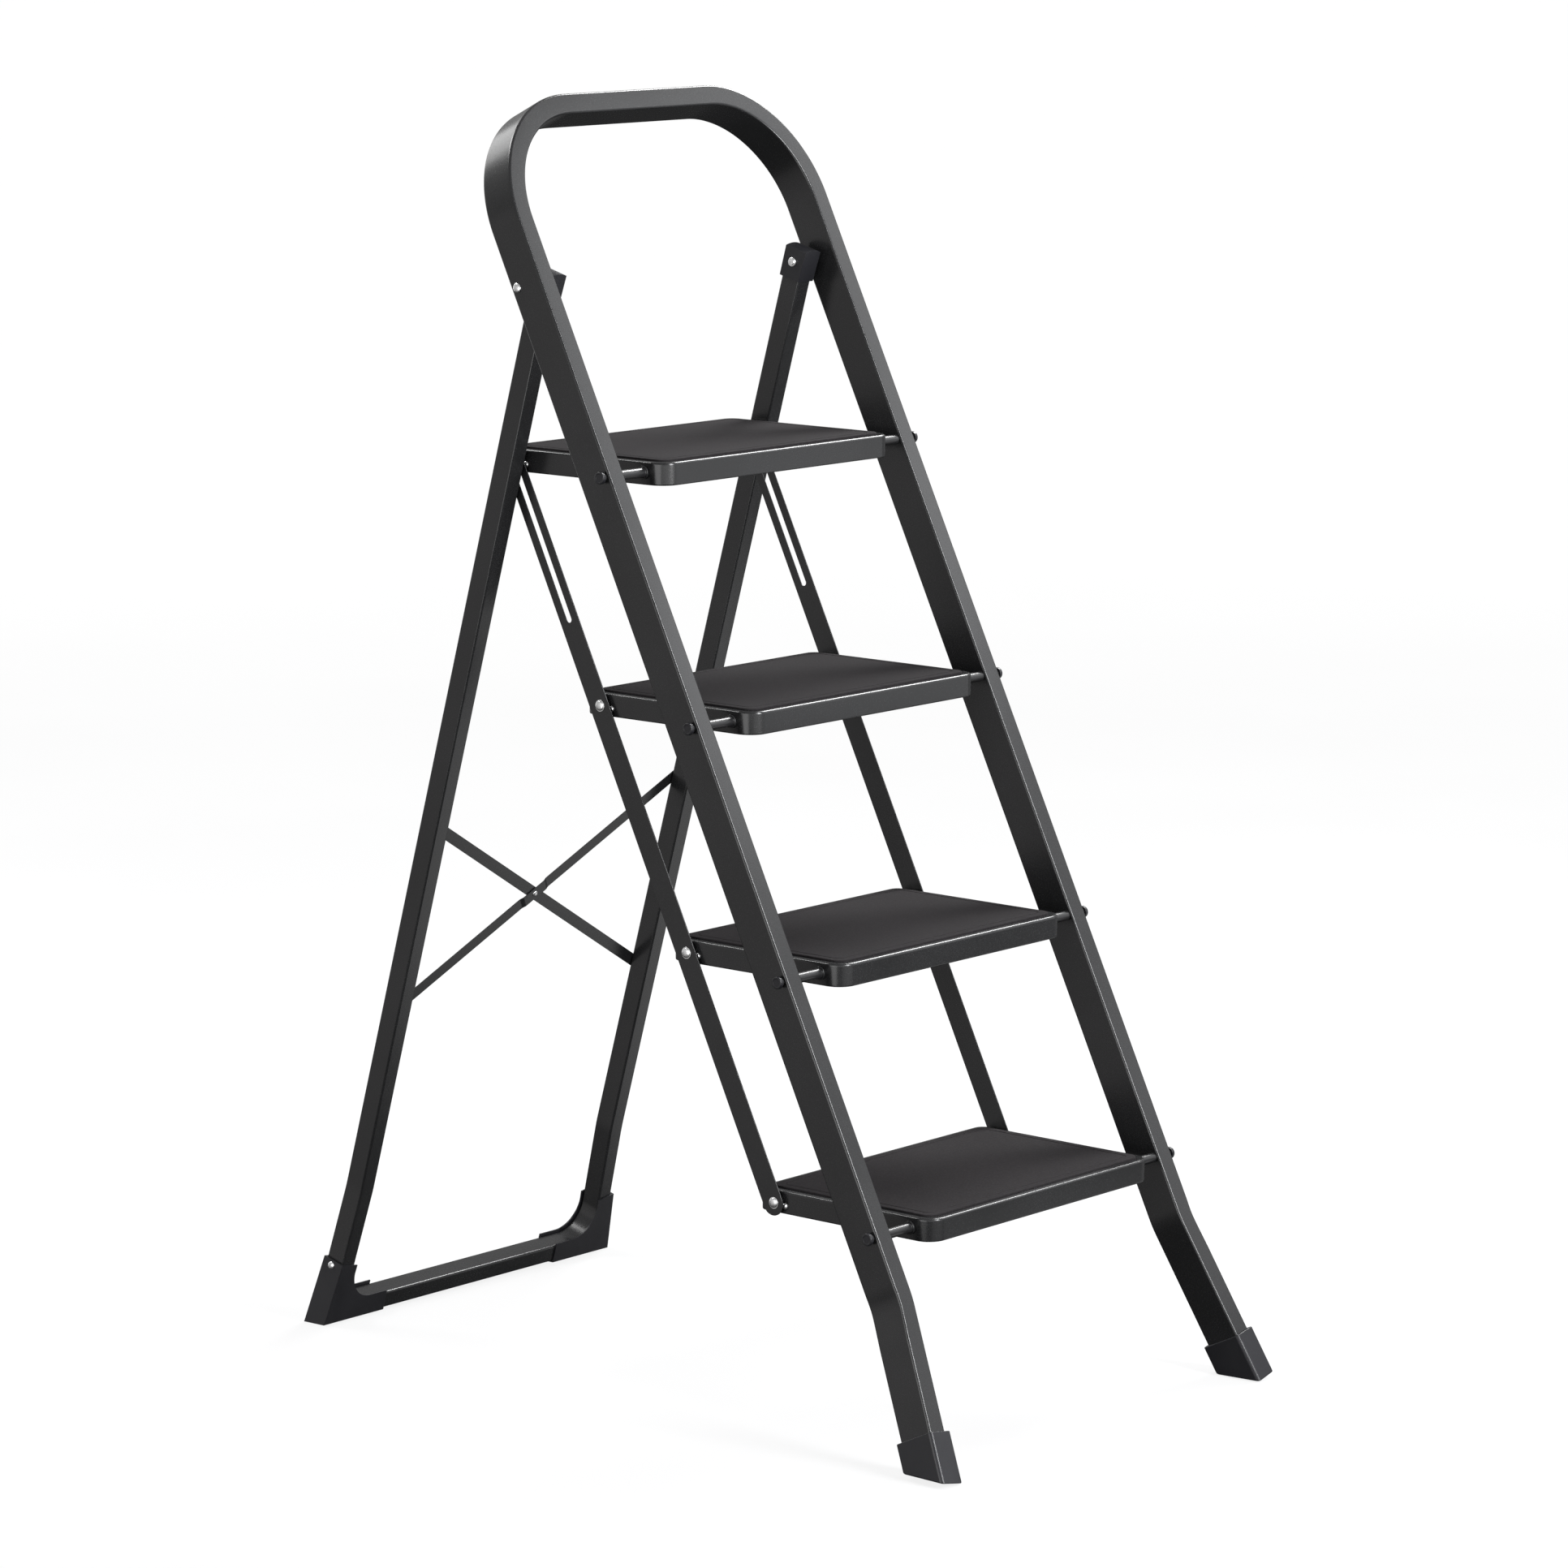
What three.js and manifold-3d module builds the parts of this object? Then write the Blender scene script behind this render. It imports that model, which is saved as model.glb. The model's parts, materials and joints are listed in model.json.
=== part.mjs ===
// Folding four-step ladder: a bent-tube front frame with a hand loop, a hinged rear frame,
// four pan steps on axles, and two slotted link bars that fold the steps together.
// Millimetres, +Z up, +X to the right of someone facing the steps, +Y towards the rear.
import * as THREE from 'three';
import { mergeVertices } from 'three/addons/utils/BufferGeometryUtils.js';
import Module from 'manifold-3d';

const wasm = await Module();
wasm.setup();

// ---- driving dimensions -------------------------------------------------------------------
const STEP_COUNT = 4;
const STEP_RISE = 240;              // height from one step to the next
const RAIL_TILT = 64.1;             // front rails against the floor, degrees
const FIRST_AXLE = { y: -337.7, z: 224.2 };
const GAP = 0.3;                    // clearance kept between pieces that touch

const RAIL = { out: 239.5, width: 22, depth: 41, corner: 2.5, wall: 1.5 };
const RAIL_SET_BACK = 13;           // tube centre line behind the axle line
const LOOP_TOP = 1206.5;            // outer edge of the hand loop, measured up the rail
const LOOP_RADIUS = 120;            // centre line of the loop's two bends
const SPLAY = { start: -66, angle: 9.25, radius: 150, end: -270 };
const BOOT = { wall: 4, top: -199, sole: 5, innerEdge: 240.5 };

const LEG = { out: 207.4, width: 19.4, depth: 24, corner: 2.2, wall: 1.5 };
const LEG_TILT = 15.7;              // rear legs against the vertical, degrees
const HINGE = { up: 1014.6, back: 25 };   // rear hinge, along the rail and behind the axle line
const LEG_TOP = 11.5;                 // leg end above the hinge
const LEG_BEND = { at: 1012, angle: 3.8, radius: 200 };
const CROSSBAR_AT = 1155.4;         // crossbar centre line, down the leg from the hinge
const CROSSBAR_RADIUS = 42;

const PAN = { half: 180, front: -27.5, rear: 197.5, top: 11, bottom: -12.6, wall: 1.5 };
const PAN_CORNERS = { front: 20, rear: 12, edge: 3 };
const TREAD = { inset: 9, corner: 12, thickness: 1.6 };

const AXLE = { radius: 4, end: 245.6 };
const AXLE_CAP = { radius: 6.2, inner: 243.2, outer: 247.2 };
const BUSH_RADIUS = 5.2;

const LINK = { inner: 183.8, outer: 185, width: 25.5, setBack: 1.3 };
const LINK_PIVOT = { y: 172, z: -1.7 };   // rear pivot of a step, from its axle
const SLOT = { width: 6.6, top: -13.4, bottom: -172.6 };
const LINK_RIVET = { head: 6, shank: 3, rise: 2.2 };
const STUD = { drop: 14, radius: 3 };     // stud below the fourth link pivot

const BRACE = { width: 12.7, thick: 1, upper: 592, lower: 819.5, joggle: 1.4, crank: 15 };
const RIVET = { shank: 2, head: 4, rise: 1.8 };

const FOOT = { reach: 135, top: 1096.5, out: 215.8, flare: 8.2, lip: 3, lipDrop: 4, wall: 1.7 };
const FOOT_SCREW = { down: 1102.3, back: 0.6, shank: 2, head: 4.2 };
const LEG_CAP = { wall: 1.7, outer: 210.3, top: 14.4, bottom: -18.4, crown: 2.2, flare: 1.8, boss: 8 };
const BOLT = { shank: 3, head: 5.2, headHeight: 2.8, nut: 5, nutHeight: 2.6 };

// ---- frames of reference ------------------------------------------------------------------
const rad = THREE.MathUtils.degToRad;
const legCentre = LEG.out - LEG.width / 2;
const railCentre = RAIL.out - RAIL.width / 2;
const stepPitch = STEP_RISE / Math.sin(rad(RAIL_TILT));   // axle spacing along the rail

// Rail frame: X across, Y up along the rail, Z out of the rail's front face, zero on axle 1.
const railFrame = new THREE.Group();
railFrame.position.set(0, FIRST_AXLE.y, FIRST_AXLE.z);
railFrame.rotation.x = rad(RAIL_TILT);
railFrame.updateMatrixWorld();

// Leg frame: X across, Y up along the rear leg, Z out of its front face, zero on the hinge.
const legFrame = new THREE.Group();
legFrame.position.copy(railFrame.localToWorld(new THREE.Vector3(0, HINGE.up, -HINGE.back)));
legFrame.rotation.x = rad(90 + LEG_TILT);
legFrame.updateMatrixWorld();

// One frame per step: level, zero on the step's own axle.
const stepFrames = [];
for (let k = 0; k < STEP_COUNT; k++) {
  const frame = new THREE.Group();
  frame.position.copy(railFrame.localToWorld(new THREE.Vector3(0, k * stepPitch, 0)));
  stepFrames.push(frame);
}

// Link frame: parallel to the rail, zero on the rear pivot of step 1.
const linkFrame = new THREE.Group();
linkFrame.position.copy(stepFrames[0].position);
linkFrame.position.y += LINK_PIVOT.y;
linkFrame.position.z += LINK_PIVOT.z;
linkFrame.rotation.x = rad(RAIL_TILT);
linkFrame.updateMatrixWorld();

const ladder = new THREE.Group();
ladder.add(railFrame, legFrame, linkFrame, ...stepFrames);

// ---- materials ----------------------------------------------------------------------------
const paint = { color: 0x1b1b1c, roughness: 0.55, metalness: 0.35 };
const looks = {
  paint,
  darkPaint: { ...paint, color: 0x171718 },
  tread: { color: 0x2a2829, roughness: 0.85, metalness: 0 },
  plastic: { color: 0x131316, roughness: 0.6, metalness: 0 },
  steel: { color: 0xc9cbce, roughness: 0.3, metalness: 0.95 },
};

function addPiece(parent, name, geometry, look) {
  const piece = new THREE.Mesh(geometry, new THREE.MeshStandardMaterial(looks[look]));
  piece.name = name;
  parent.add(piece);
  return piece;
}

// ---- solids -------------------------------------------------------------------------------
function toSolid(geometry) {
  const bare = geometry.clone();
  bare.deleteAttribute('normal');
  bare.deleteAttribute('uv');
  const merged = mergeVertices(bare, 1e-3);
  return new wasm.Manifold(new wasm.Mesh({
    numProp: 3,
    vertProperties: new Float32Array(merged.attributes.position.array),
    triVerts: new Uint32Array(merged.index.array),
  }));
}

function toGeometry(solid) {
  const mesh = solid.getMesh();
  const geometry = new THREE.BufferGeometry();
  geometry.setAttribute('position', new THREE.BufferAttribute(mesh.vertProperties, 3));
  geometry.setIndex(new THREE.BufferAttribute(mesh.triVerts, 1));
  return geometry;
}

function cut(geometry, ...cutters) {
  return toGeometry(cutters.reduce((solid, tool) => solid.subtract(toSolid(tool)), toSolid(geometry)));
}

function common(first, second) {
  return toGeometry(toSolid(first).intersect(toSolid(second)));
}

function joined(...parts) {
  return toGeometry(parts.map(toSolid).reduce((sum, part) => sum.add(part)));
}

// The same shape on the other side of X = 0, with its faces turned outwards again.
function mirrored(geometry) {
  const copy = mergeVertices(geometry.clone().deleteAttribute('normal').deleteAttribute('uv'), 1e-3);
  copy.scale(-1, 1, 1);
  const index = copy.index.array;
  for (let i = 0; i < index.length; i += 3) {
    [index[i], index[i + 1]] = [index[i + 1], index[i]];
  }
  return copy;
}

// Adds a right-hand piece and its left-hand mirror image.
function addPair(parent, name, geometry, look) {
  addPiece(parent, `${name}_right`, geometry, look);
  addPiece(parent, `${name}_left`, mirrored(geometry), look);
}

function box(x0, x1, y0, y1, z0, z1) {
  const geometry = new THREE.BoxGeometry(x1 - x0, y1 - y0, z1 - z0);
  return geometry.translate((x0 + x1) / 2, (y0 + y1) / 2, (z0 + z1) / 2);
}

// A round bar along X.
function bar(radius, x0, x1, y = 0, z = 0) {
  const geometry = new THREE.CylinderGeometry(radius, radius, x1 - x0, 16);
  return geometry.rotateZ(-Math.PI / 2).translate((x0 + x1) / 2, y, z);
}

// A round bar along Z.
function pin(radius, x, y, z0, z1) {
  const geometry = new THREE.CylinderGeometry(radius, radius, z1 - z0, 16);
  return geometry.rotateX(Math.PI / 2).translate(x, y, (z0 + z1) / 2);
}

// A piece turned about the X axis from [radius, x] pairs, listed towards +X on the outside.
function turned(profile) {
  const points = profile.map(([radius, x]) => new THREE.Vector2(radius, x));
  return new THREE.LatheGeometry(points, 16).rotateZ(-Math.PI / 2);
}

// Profile of a domed head that starts at x and rises towards +X.
function dome(radius, x, rise) {
  const rim = 0.3;
  const rings = [30, 60].map((angle) => (
    [radius * Math.cos(rad(angle)), x + rise * (rim + (1 - rim) * Math.sin(rad(angle)))]
  ));
  return [[radius, x], [radius, x + rim * rise], ...rings, [0, x + rise]];
}

// A rectangle with one radius, or with a radius for each corner from lower left, anticlockwise.
function roundedRect(x0, x1, y0, y1, radius) {
  const [r0, r1, r2, r3] = Array.isArray(radius) ? radius : [radius, radius, radius, radius];
  const quarter = Math.PI / 2;
  const shape = new THREE.Shape();
  shape.absarc(x0 + r0, y0 + r0, r0, 2 * quarter, 3 * quarter);
  shape.absarc(x1 - r1, y0 + r1, r1, 3 * quarter, 4 * quarter);
  shape.absarc(x1 - r2, y1 - r2, r2, 0, quarter);
  shape.absarc(x0 + r3, y1 - r3, r3, quarter, 2 * quarter);
  shape.closePath();
  return shape;
}

// A flat outline along Y with half-round ends.
function roundEnded(from, to, radius) {
  const shape = new THREE.Shape();
  shape.absarc(0, from, radius, Math.PI, 2 * Math.PI);
  shape.absarc(0, to, radius, 0, Math.PI);
  shape.closePath();
  return shape;
}

function tubeSection({ width, depth, corner, wall }) {
  const shape = roundedRect(-depth / 2, depth / 2, -width / 2, width / 2, corner);
  const [d, w] = [depth / 2 - wall, width / 2 - wall];
  const bore = [[-d, -w], [d, -w], [d, w], [-d, w]].map(([x, y]) => new THREE.Vector2(x, y));
  shape.holes.push(new THREE.Path(bore));
  return shape;
}

// A path in the XY plane through corner points [x, y, bend radius]: straight runs stay whole
// and each bend is divided evenly.
class BentPath extends THREE.Curve {
  constructor(corners, bendStep) {
    super();
    const at = corners.map(([x, y]) => new THREE.Vector3(x, y, 0));
    const way = (i) => at[i + 1].clone().sub(at[i]).normalize();
    this.stations = [{ point: at[0], tangent: way(0) }];
    for (let i = 1; i < at.length - 1; i++) {
      const [before, after] = [way(i - 1), way(i)];
      const turn = before.angleTo(after);
      const radius = corners[i][2];
      const reach = radius * Math.tan(turn / 2);
      const start = at[i].clone().addScaledVector(before, -reach);
      const inward = after.clone().addScaledVector(before, -after.dot(before)).normalize();
      const count = Math.max(2, Math.ceil(turn / rad(bendStep)));
      for (let j = 0; j <= count; j++) {
        const a = (turn * j) / count;
        this.stations.push({
          point: start.clone().addScaledVector(before, radius * Math.sin(a))
            .addScaledVector(inward, radius * (1 - Math.cos(a))),
          tangent: before.clone().multiplyScalar(Math.cos(a)).addScaledVector(inward, Math.sin(a)),
        });
      }
    }
    this.stations.push({ point: at.at(-1), tangent: way(at.length - 2) });
  }

  station(u) {
    return this.stations[Math.round(u * (this.stations.length - 1))];
  }

  getPointAt(u) {
    return this.station(u).point.clone();
  }

  getTangentAt(u) {
    return this.station(u).tangent.clone();
  }
}

// Sweeps a section along a path; the section's X runs against the path plane's normal.
function sweep(path, section, curveSegments = 1) {
  const steps = path.stations.length - 1;
  return new THREE.ExtrudeGeometry(section, { steps, extrudePath: path, curveSegments });
}

// Moves a tool given in ladder coordinates into one of the frames.
function intoFrame(frame, geometry) {
  return geometry.applyMatrix4(frame.matrixWorld.clone().invert());
}

// ---- front frame --------------------------------------------------------------------------
const splayReach = (SPLAY.start - SPLAY.end) * Math.tan(rad(SPLAY.angle));
const loopTop = LOOP_TOP - RAIL.width / 2;
const frontCorners = [
  [-railCentre - splayReach, SPLAY.end],
  [-railCentre, SPLAY.start, SPLAY.radius],
  [-railCentre, loopTop, LOOP_RADIUS],
  [railCentre, loopTop, LOOP_RADIUS],
  [railCentre, SPLAY.start, SPLAY.radius],
  [railCentre + splayReach, SPLAY.end],
];

// Everything below the sole of the right-hand boot, or below a plane lifted from it. The sole is
// square to the splayed tube end and level from front to rear.
function belowSole(lift) {
  const half = 90;
  const tilt = Math.atan(Math.tan(rad(SPLAY.angle)) / Math.sin(rad(RAIL_TILT)));
  const tool = box(-half, half, -half, half, -half, lift).rotateY(-tilt);
  const y = railFrame.localToWorld(new THREE.Vector3(0, SPLAY.end, 0)).y;
  return intoFrame(railFrame, tool.translate(BOOT.innerEdge, y, 0));
}

function frontFrameTube() {
  const tube = sweep(new BentPath(frontCorners, 11.25), tubeSection(RAIL), 2);
  tube.translate(0, 0, -RAIL_SET_BACK);
  const reach = RAIL.out + 1;
  const ends = belowSole(BOOT.sole);
  const holes = stepFrames.map((_, k) => bar(AXLE.radius + GAP, -reach, reach, k * stepPitch, 0));
  holes.push(bar(BOLT.shank + GAP, -reach, reach, HINGE.up, -HINGE.back));
  return cut(tube, ends, mirrored(ends), ...holes);
}

// Rubber boot round the splayed end.
function boot() {
  const { wall, top, sole } = BOOT;
  const section = roundedRect(
    -RAIL.depth / 2 - wall, RAIL.depth / 2 + wall,
    -RAIL.width / 2 - wall, RAIL.width / 2 + wall, 4,
  );
  const [w, d] = [RAIL.width / 2 + GAP, RAIL.depth / 2 + GAP];
  const pocket = roundedRect(-d, d, -w, w, RAIL.corner - 1);
  const slope = Math.tan(rad(SPLAY.angle));
  const point = (s) => [railCentre + (SPLAY.start - s) * slope, s];
  const run = (from, to) => new BentPath([point(from), point(to)], 90);
  const outer = sweep(run(top, SPLAY.end - 20), section, 2);
  const inner = sweep(run(top + 10, SPLAY.end - 10), pocket);
  outer.translate(0, 0, -RAIL_SET_BACK);
  inner.translate(0, 0, -RAIL_SET_BACK);
  return cut(outer, cut(inner, belowSole(sole - GAP)), belowSole(0));
}

addPiece(railFrame, 'front_frame_tube', frontFrameTube(), 'paint');
addPair(railFrame, 'boot', boot(), 'plastic');

// ---- steps --------------------------------------------------------------------------------
const { front: frontR, rear: rearR, edge: edgeR } = PAN_CORNERS;

function panPlan(inset) {
  return roundedRect(
    -PAN.half + inset, PAN.half - inset, PAN.front + inset, PAN.rear - inset,
    [frontR - inset, frontR - inset, rearR - inset, rearR - inset],
  );
}

// A block with the pan's plan and rounded top edge; the pan is one block less a smaller one.
function panBlock(inset, top, edge, bottom) {
  const block = new THREE.ExtrudeGeometry(panPlan(inset + edge), {
    depth: top - edge - bottom, curveSegments: 2,
    bevelThickness: edge, bevelSize: edge, bevelSegments: 2,
  });
  return block.translate(0, 0, bottom);
}

function stepPan() {
  const drop = 10;
  const shell = panBlock(0, PAN.top, edgeR, PAN.bottom - drop);
  const hollow = panBlock(PAN.wall, PAN.top - PAN.wall, edgeR - PAN.wall, PAN.bottom - 2 * drop);
  const below = box(-200, 200, -60, 230, PAN.bottom - 3 * drop, PAN.bottom);
  const wide = PAN.half + 1;
  const axleHole = bar(AXLE.radius + GAP, -wide, wide);
  const rivetHole = bar(LINK_RIVET.shank + GAP, -wide, wide, LINK_PIVOT.y, LINK_PIVOT.z);
  return cut(shell, hollow, below, axleHole, rivetHole);
}

function treadMat() {
  const { inset, corner, thickness } = TREAD;
  const plan = roundedRect(
    -PAN.half + inset + 0.5, PAN.half - inset - 0.5, PAN.front + inset + 0.5,
    PAN.rear - inset - 0.5, corner,
  );
  const mat = new THREE.ExtrudeGeometry(plan, {
    depth: thickness - 0.5, curveSegments: 2,
    bevelThickness: 0.5, bevelSize: 0.5, bevelSegments: 1,
  });
  const seat = PAN.top + GAP;
  return cut(mat.translate(0, 0, seat), box(-200, 200, -60, 230, seat - 5, seat));
}

const bush = turned([
  [AXLE.radius + GAP, PAN.half + GAP], [BUSH_RADIUS, PAN.half + GAP],
  [BUSH_RADIUS, RAIL.out - RAIL.width - GAP], [AXLE.radius + GAP, RAIL.out - RAIL.width - GAP],
  [AXLE.radius + GAP, PAN.half + GAP],
]);

const axleCap = turned([
  [0, AXLE.end + GAP], [AXLE.radius + GAP, AXLE.end + GAP], [AXLE.radius + GAP, AXLE_CAP.inner],
  [AXLE_CAP.radius, AXLE_CAP.inner], [AXLE_CAP.radius, AXLE_CAP.outer - 1],
  [AXLE_CAP.radius - 1, AXLE_CAP.outer], [0, AXLE_CAP.outer],
]);

stepFrames.forEach((frame, k) => {
  const step = k + 1;
  addPiece(frame, `pan_${step}`, stepPan(), 'paint');
  addPiece(frame, `tread_${step}`, treadMat(), 'tread');
  addPiece(frame, `axle_${step}`, bar(AXLE.radius, -AXLE.end, AXLE.end), 'darkPaint');
  addPair(frame, `bush_${step}`, bush, 'darkPaint');
  addPair(frame, `axle_cap_${step}`, axleCap, 'plastic');
});

// ---- rear frame ---------------------------------------------------------------------------
const cornerX = legCentre + (CROSSBAR_AT - LEG_BEND.at) * Math.tan(rad(LEG_BEND.angle));
const legPath = new BentPath([
  [-legCentre, LEG_TOP],
  [-legCentre, -LEG_BEND.at, LEG_BEND.radius],
  [-cornerX, -CROSSBAR_AT, CROSSBAR_RADIUS],
  [cornerX, -CROSSBAR_AT, CROSSBAR_RADIUS],
  [legCentre, -LEG_BEND.at, LEG_BEND.radius],
  [legCentre, LEG_TOP],
], 15);

// Two crossed braces, each from high on one leg to low on the other.
const braceMiddle = -(BRACE.upper + BRACE.lower) / 2;
const braceRise = (BRACE.lower - BRACE.upper) / 2;
const braceHalf = Math.hypot(legCentre, braceRise);
const braceTurn = Math.atan2(legCentre, braceRise);
const braceFace = -LEG.depth / 2 - GAP;
const braceEnds = [-1, 1].flatMap((x) => [-1, 1].map((y) => (
  { x: x * legCentre, y: braceMiddle + y * braceRise }
)));

// The stud stands on the leg's inner face, in the open upper end of the link slot.
const stud = linkFrame.localToWorld(
  new THREE.Vector3(0, (STEP_COUNT - 1) * stepPitch - STUD.drop, -LINK.setBack),
);
legFrame.worldToLocal(stud);

// Puts a piece made along X, zero on the foot's outer face, where the foot screw sits.
function onFootFace(geometry) {
  const slope = Math.tan(rad(FOOT.flare));
  const { down, back } = FOOT_SCREW;
  return geometry.rotateZ(rad(FOOT.flare))
    .translate(FOOT.out + (down - FOOT.top) * slope, -down, -back);
}

function footScrewHole() {
  return onFootFace(bar(FOOT_SCREW.shank + GAP, -8, 5));
}

function rearFrameTube() {
  const holes = [bar(BOLT.shank + GAP, -LEG.out - 1, LEG.out + 1)];
  const inner = LEG.out - LEG.width;
  const studHole = bar(STUD.radius - 0.5 + GAP, inner - 3, inner + 3, stud.y, stud.z);
  holes.push(studHole, mirrored(studHole), footScrewHole(), mirrored(footScrewHole()));
  for (const { x, y } of braceEnds) {
    holes.push(pin(RIVET.shank + GAP, x, y, braceFace - 1, braceFace + 4));
  }
  return cut(sweep(legPath, tubeSection(LEG), 2), ...holes);
}

// Moulded corner foot: a channel open to the inside of the bend, with a level sole.
function cornerFoot() {
  const { reach, top, out, flare, lip, lipDrop, wall } = FOOT;
  const [lipRadius, lipEnd, deep] = [32, 191.5, 1180];
  const lipX = cornerX - LEG.width / 2 - lip - 2 - lipRadius;
  const lipY = -CROSSBAR_AT + LEG.width / 2 + lip + lipRadius;
  const outline = new THREE.Shape();
  outline.moveTo(reach, -deep);
  outline.lineTo(reach, lipY - lipRadius);
  outline.absarc(lipX, lipY, lipRadius, -Math.PI / 2, 0);
  outline.lineTo(lipEnd, -top - lipDrop);
  outline.lineTo(out, -top);
  outline.lineTo(out + (deep - top) * Math.tan(rad(flare)), -deep);
  outline.closePath();
  const half = LEG.depth / 2 + wall;
  const bevel = 0.8;
  const block = new THREE.ExtrudeGeometry(outline, {
    depth: 2 * (half - bevel), curveSegments: 5,
    bevelThickness: bevel, bevelSize: bevel, bevelOffset: -bevel, bevelSegments: 1,
  }).translate(0, 0, bevel - half);
  const [d, w] = [LEG.depth / 2 + GAP, LEG.width / 2 + GAP];
  const channel = sweep(legPath, roundedRect(-d, d, -w, w + 8, 1.5));
  const floor = intoFrame(legFrame, box(100, 260, -100, 700, -90, 0));
  return cut(block, channel, footScrewHole(), floor);
}

function footScrew() {
  const { shank, head } = FOOT_SCREW;
  const screw = turned([[0, -6], [shank, -6], [shank, GAP], ...dome(head, GAP, 2.2)]);
  return onFootFace(screw);
}

// Crowned cap over the leg's top end, a little deeper at the top, with a boss that spaces the leg
// from the rail.
function legCap() {
  const { wall, outer, top, bottom, crown, flare, boss } = LEG_CAP;
  const inner = LEG.out - LEG.width - wall;
  const front = new THREE.Shape();
  front.moveTo(inner, top);
  front.lineTo(inner, bottom);
  front.lineTo(outer, bottom);
  front.lineTo(outer, top);
  front.quadraticCurveTo((inner + outer) / 2, top + 2 * crown, inner, top);
  const half = LEG.depth / 2 + wall;
  const across = new THREE.ExtrudeGeometry(front, {
    depth: 4 * half, bevelEnabled: false, curveSegments: 8,
  }).translate(0, 0, -2 * half);
  const reach = top + crown + 1;
  const side = new THREE.Shape([
    [-half, bottom - 1], [half - flare / 2, bottom - 1], [half + flare / 2, top],
    [half + flare / 2, reach], [-half, reach],
  ].map(([z, y]) => new THREE.Vector2(z, y)));
  const along = new THREE.ExtrudeGeometry(side, { depth: outer - inner + 2, bevelEnabled: false });
  along.rotateY(-Math.PI / 2).translate(outer + 1, 0, 0);
  const pocketHalf = LEG.depth / 2 + GAP;
  const pocket = box(
    inner + wall - GAP, LEG.out + GAP, bottom - 1, LEG_TOP + GAP, -pocketHalf, pocketHalf,
  );
  const spacer = bar(boss, outer - 0.5, RAIL.out - RAIL.width - GAP);
  const hole = bar(BOLT.shank + GAP, inner - 1, RAIL.out);
  return cut(joined(common(across, along), spacer), pocket, hole);
}

function hingeBolt() {
  const { shank, head, headHeight, nut, nutHeight } = BOLT;
  const seat = LEG.out - LEG.width - LEG_CAP.wall - GAP;
  const bolt = turned([
    [0, seat - headHeight], [head - 1, seat - headHeight], [head, seat - headHeight + 1],
    [head, seat], [shank, seat], [shank, RAIL.out + GAP],
    ...dome(nut, RAIL.out + GAP, nutHeight),
  ]);
  const [slotHalf, slotTurn] = [0.7, 0.45];
  const slot = box(seat - 4, seat - headHeight + 1.2, -head - 1, head + 1, -slotHalf, slotHalf);
  return cut(bolt, slot.rotateX(slotTurn));
}

function withBraceHoles(plate) {
  return cut(plate, ...[-braceHalf, 0, braceHalf].map((y) => pin(RIVET.shank + GAP, 0, y, -20, 20)));
}

function bracePlan(z0, z1) {
  return new THREE.ExtrudeGeometry(roundEnded(-braceHalf, braceHalf, BRACE.width / 2), {
    depth: z1 - z0, bevelEnabled: false, curveSegments: 5,
  }).translate(0, 0, z0);
}

// The second brace is cranked forward in the middle, where it passes in front of the first.
function crankedBrace() {
  const { thick, joggle, crank, width } = BRACE;
  const end = braceHalf + width;
  const ramp = 6;
  const half = [[crank, 0], [crank + ramp, -joggle], [end, -joggle]];
  const upper = [...half.map(([y, z]) => [-y, z]).reverse(), ...half];
  const lower = upper.map(([y, z]) => [y, z - thick]).reverse();
  const side = new THREE.Shape([...lower, ...upper].map(([y, z]) => new THREE.Vector2(y, z + joggle)));
  const strip = new THREE.ExtrudeGeometry(side, { depth: width + 2, bevelEnabled: false });
  strip.rotateX(Math.PI / 2).rotateZ(Math.PI / 2).translate(-width / 2 - 1, 0, 0);
  return common(strip, bracePlan(-10, 10));
}

// A rivet whose profile runs towards the rear face of the legs.
function rearRivet(profile) {
  return turned(profile).rotateY(Math.PI / 2);
}

function crossRivet() {
  const [front, rear] = [BRACE.joggle + GAP, BRACE.thick + GAP];
  const [head, rise] = [3.4, 1.4];
  return rearRivet([
    ...dome(head, front, rise).map(([r, x]) => [r, -x]).reverse(),
    [RIVET.shank, -front], [RIVET.shank, rear], ...dome(head, rear, rise),
  ]);
}

function endRivet() {
  const { shank, head, rise } = RIVET;
  const seat = BRACE.thick + GAP;
  return rearRivet([[0, -3], [shank, -3], [shank, seat], ...dome(head, seat, rise)]);
}

addPiece(legFrame, 'rear_frame_tube', rearFrameTube(), 'paint');
addPair(legFrame, 'corner_foot', cornerFoot(), 'plastic');
addPair(legFrame, 'foot_screw', footScrew(), 'steel');
addPair(legFrame, 'leg_cap', legCap(), 'plastic');
addPair(railFrame, 'hinge_bolt', hingeBolt().translate(0, HINGE.up, -HINGE.back), 'steel');

const straight = withBraceHoles(bracePlan(-BRACE.thick, 0));
addPiece(legFrame, 'brace_straight', straight, 'darkPaint').rotation.z = braceTurn;
addPiece(legFrame, 'brace_cranked', withBraceHoles(crankedBrace()), 'darkPaint').rotation.z = -braceTurn;
addPiece(legFrame, 'brace_rivet', crossRivet(), 'steel');
for (const name of ['brace_straight', 'brace_cranked', 'brace_rivet']) {
  legFrame.getObjectByName(name).position.set(0, braceMiddle, braceFace);
}
braceEnds.forEach(({ x, y }, i) => {
  const rivet = addPiece(legFrame, `brace_end_rivet_${i + 1}`, endRivet(), 'steel');
  rivet.position.set(x, y, braceFace);
});

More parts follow.
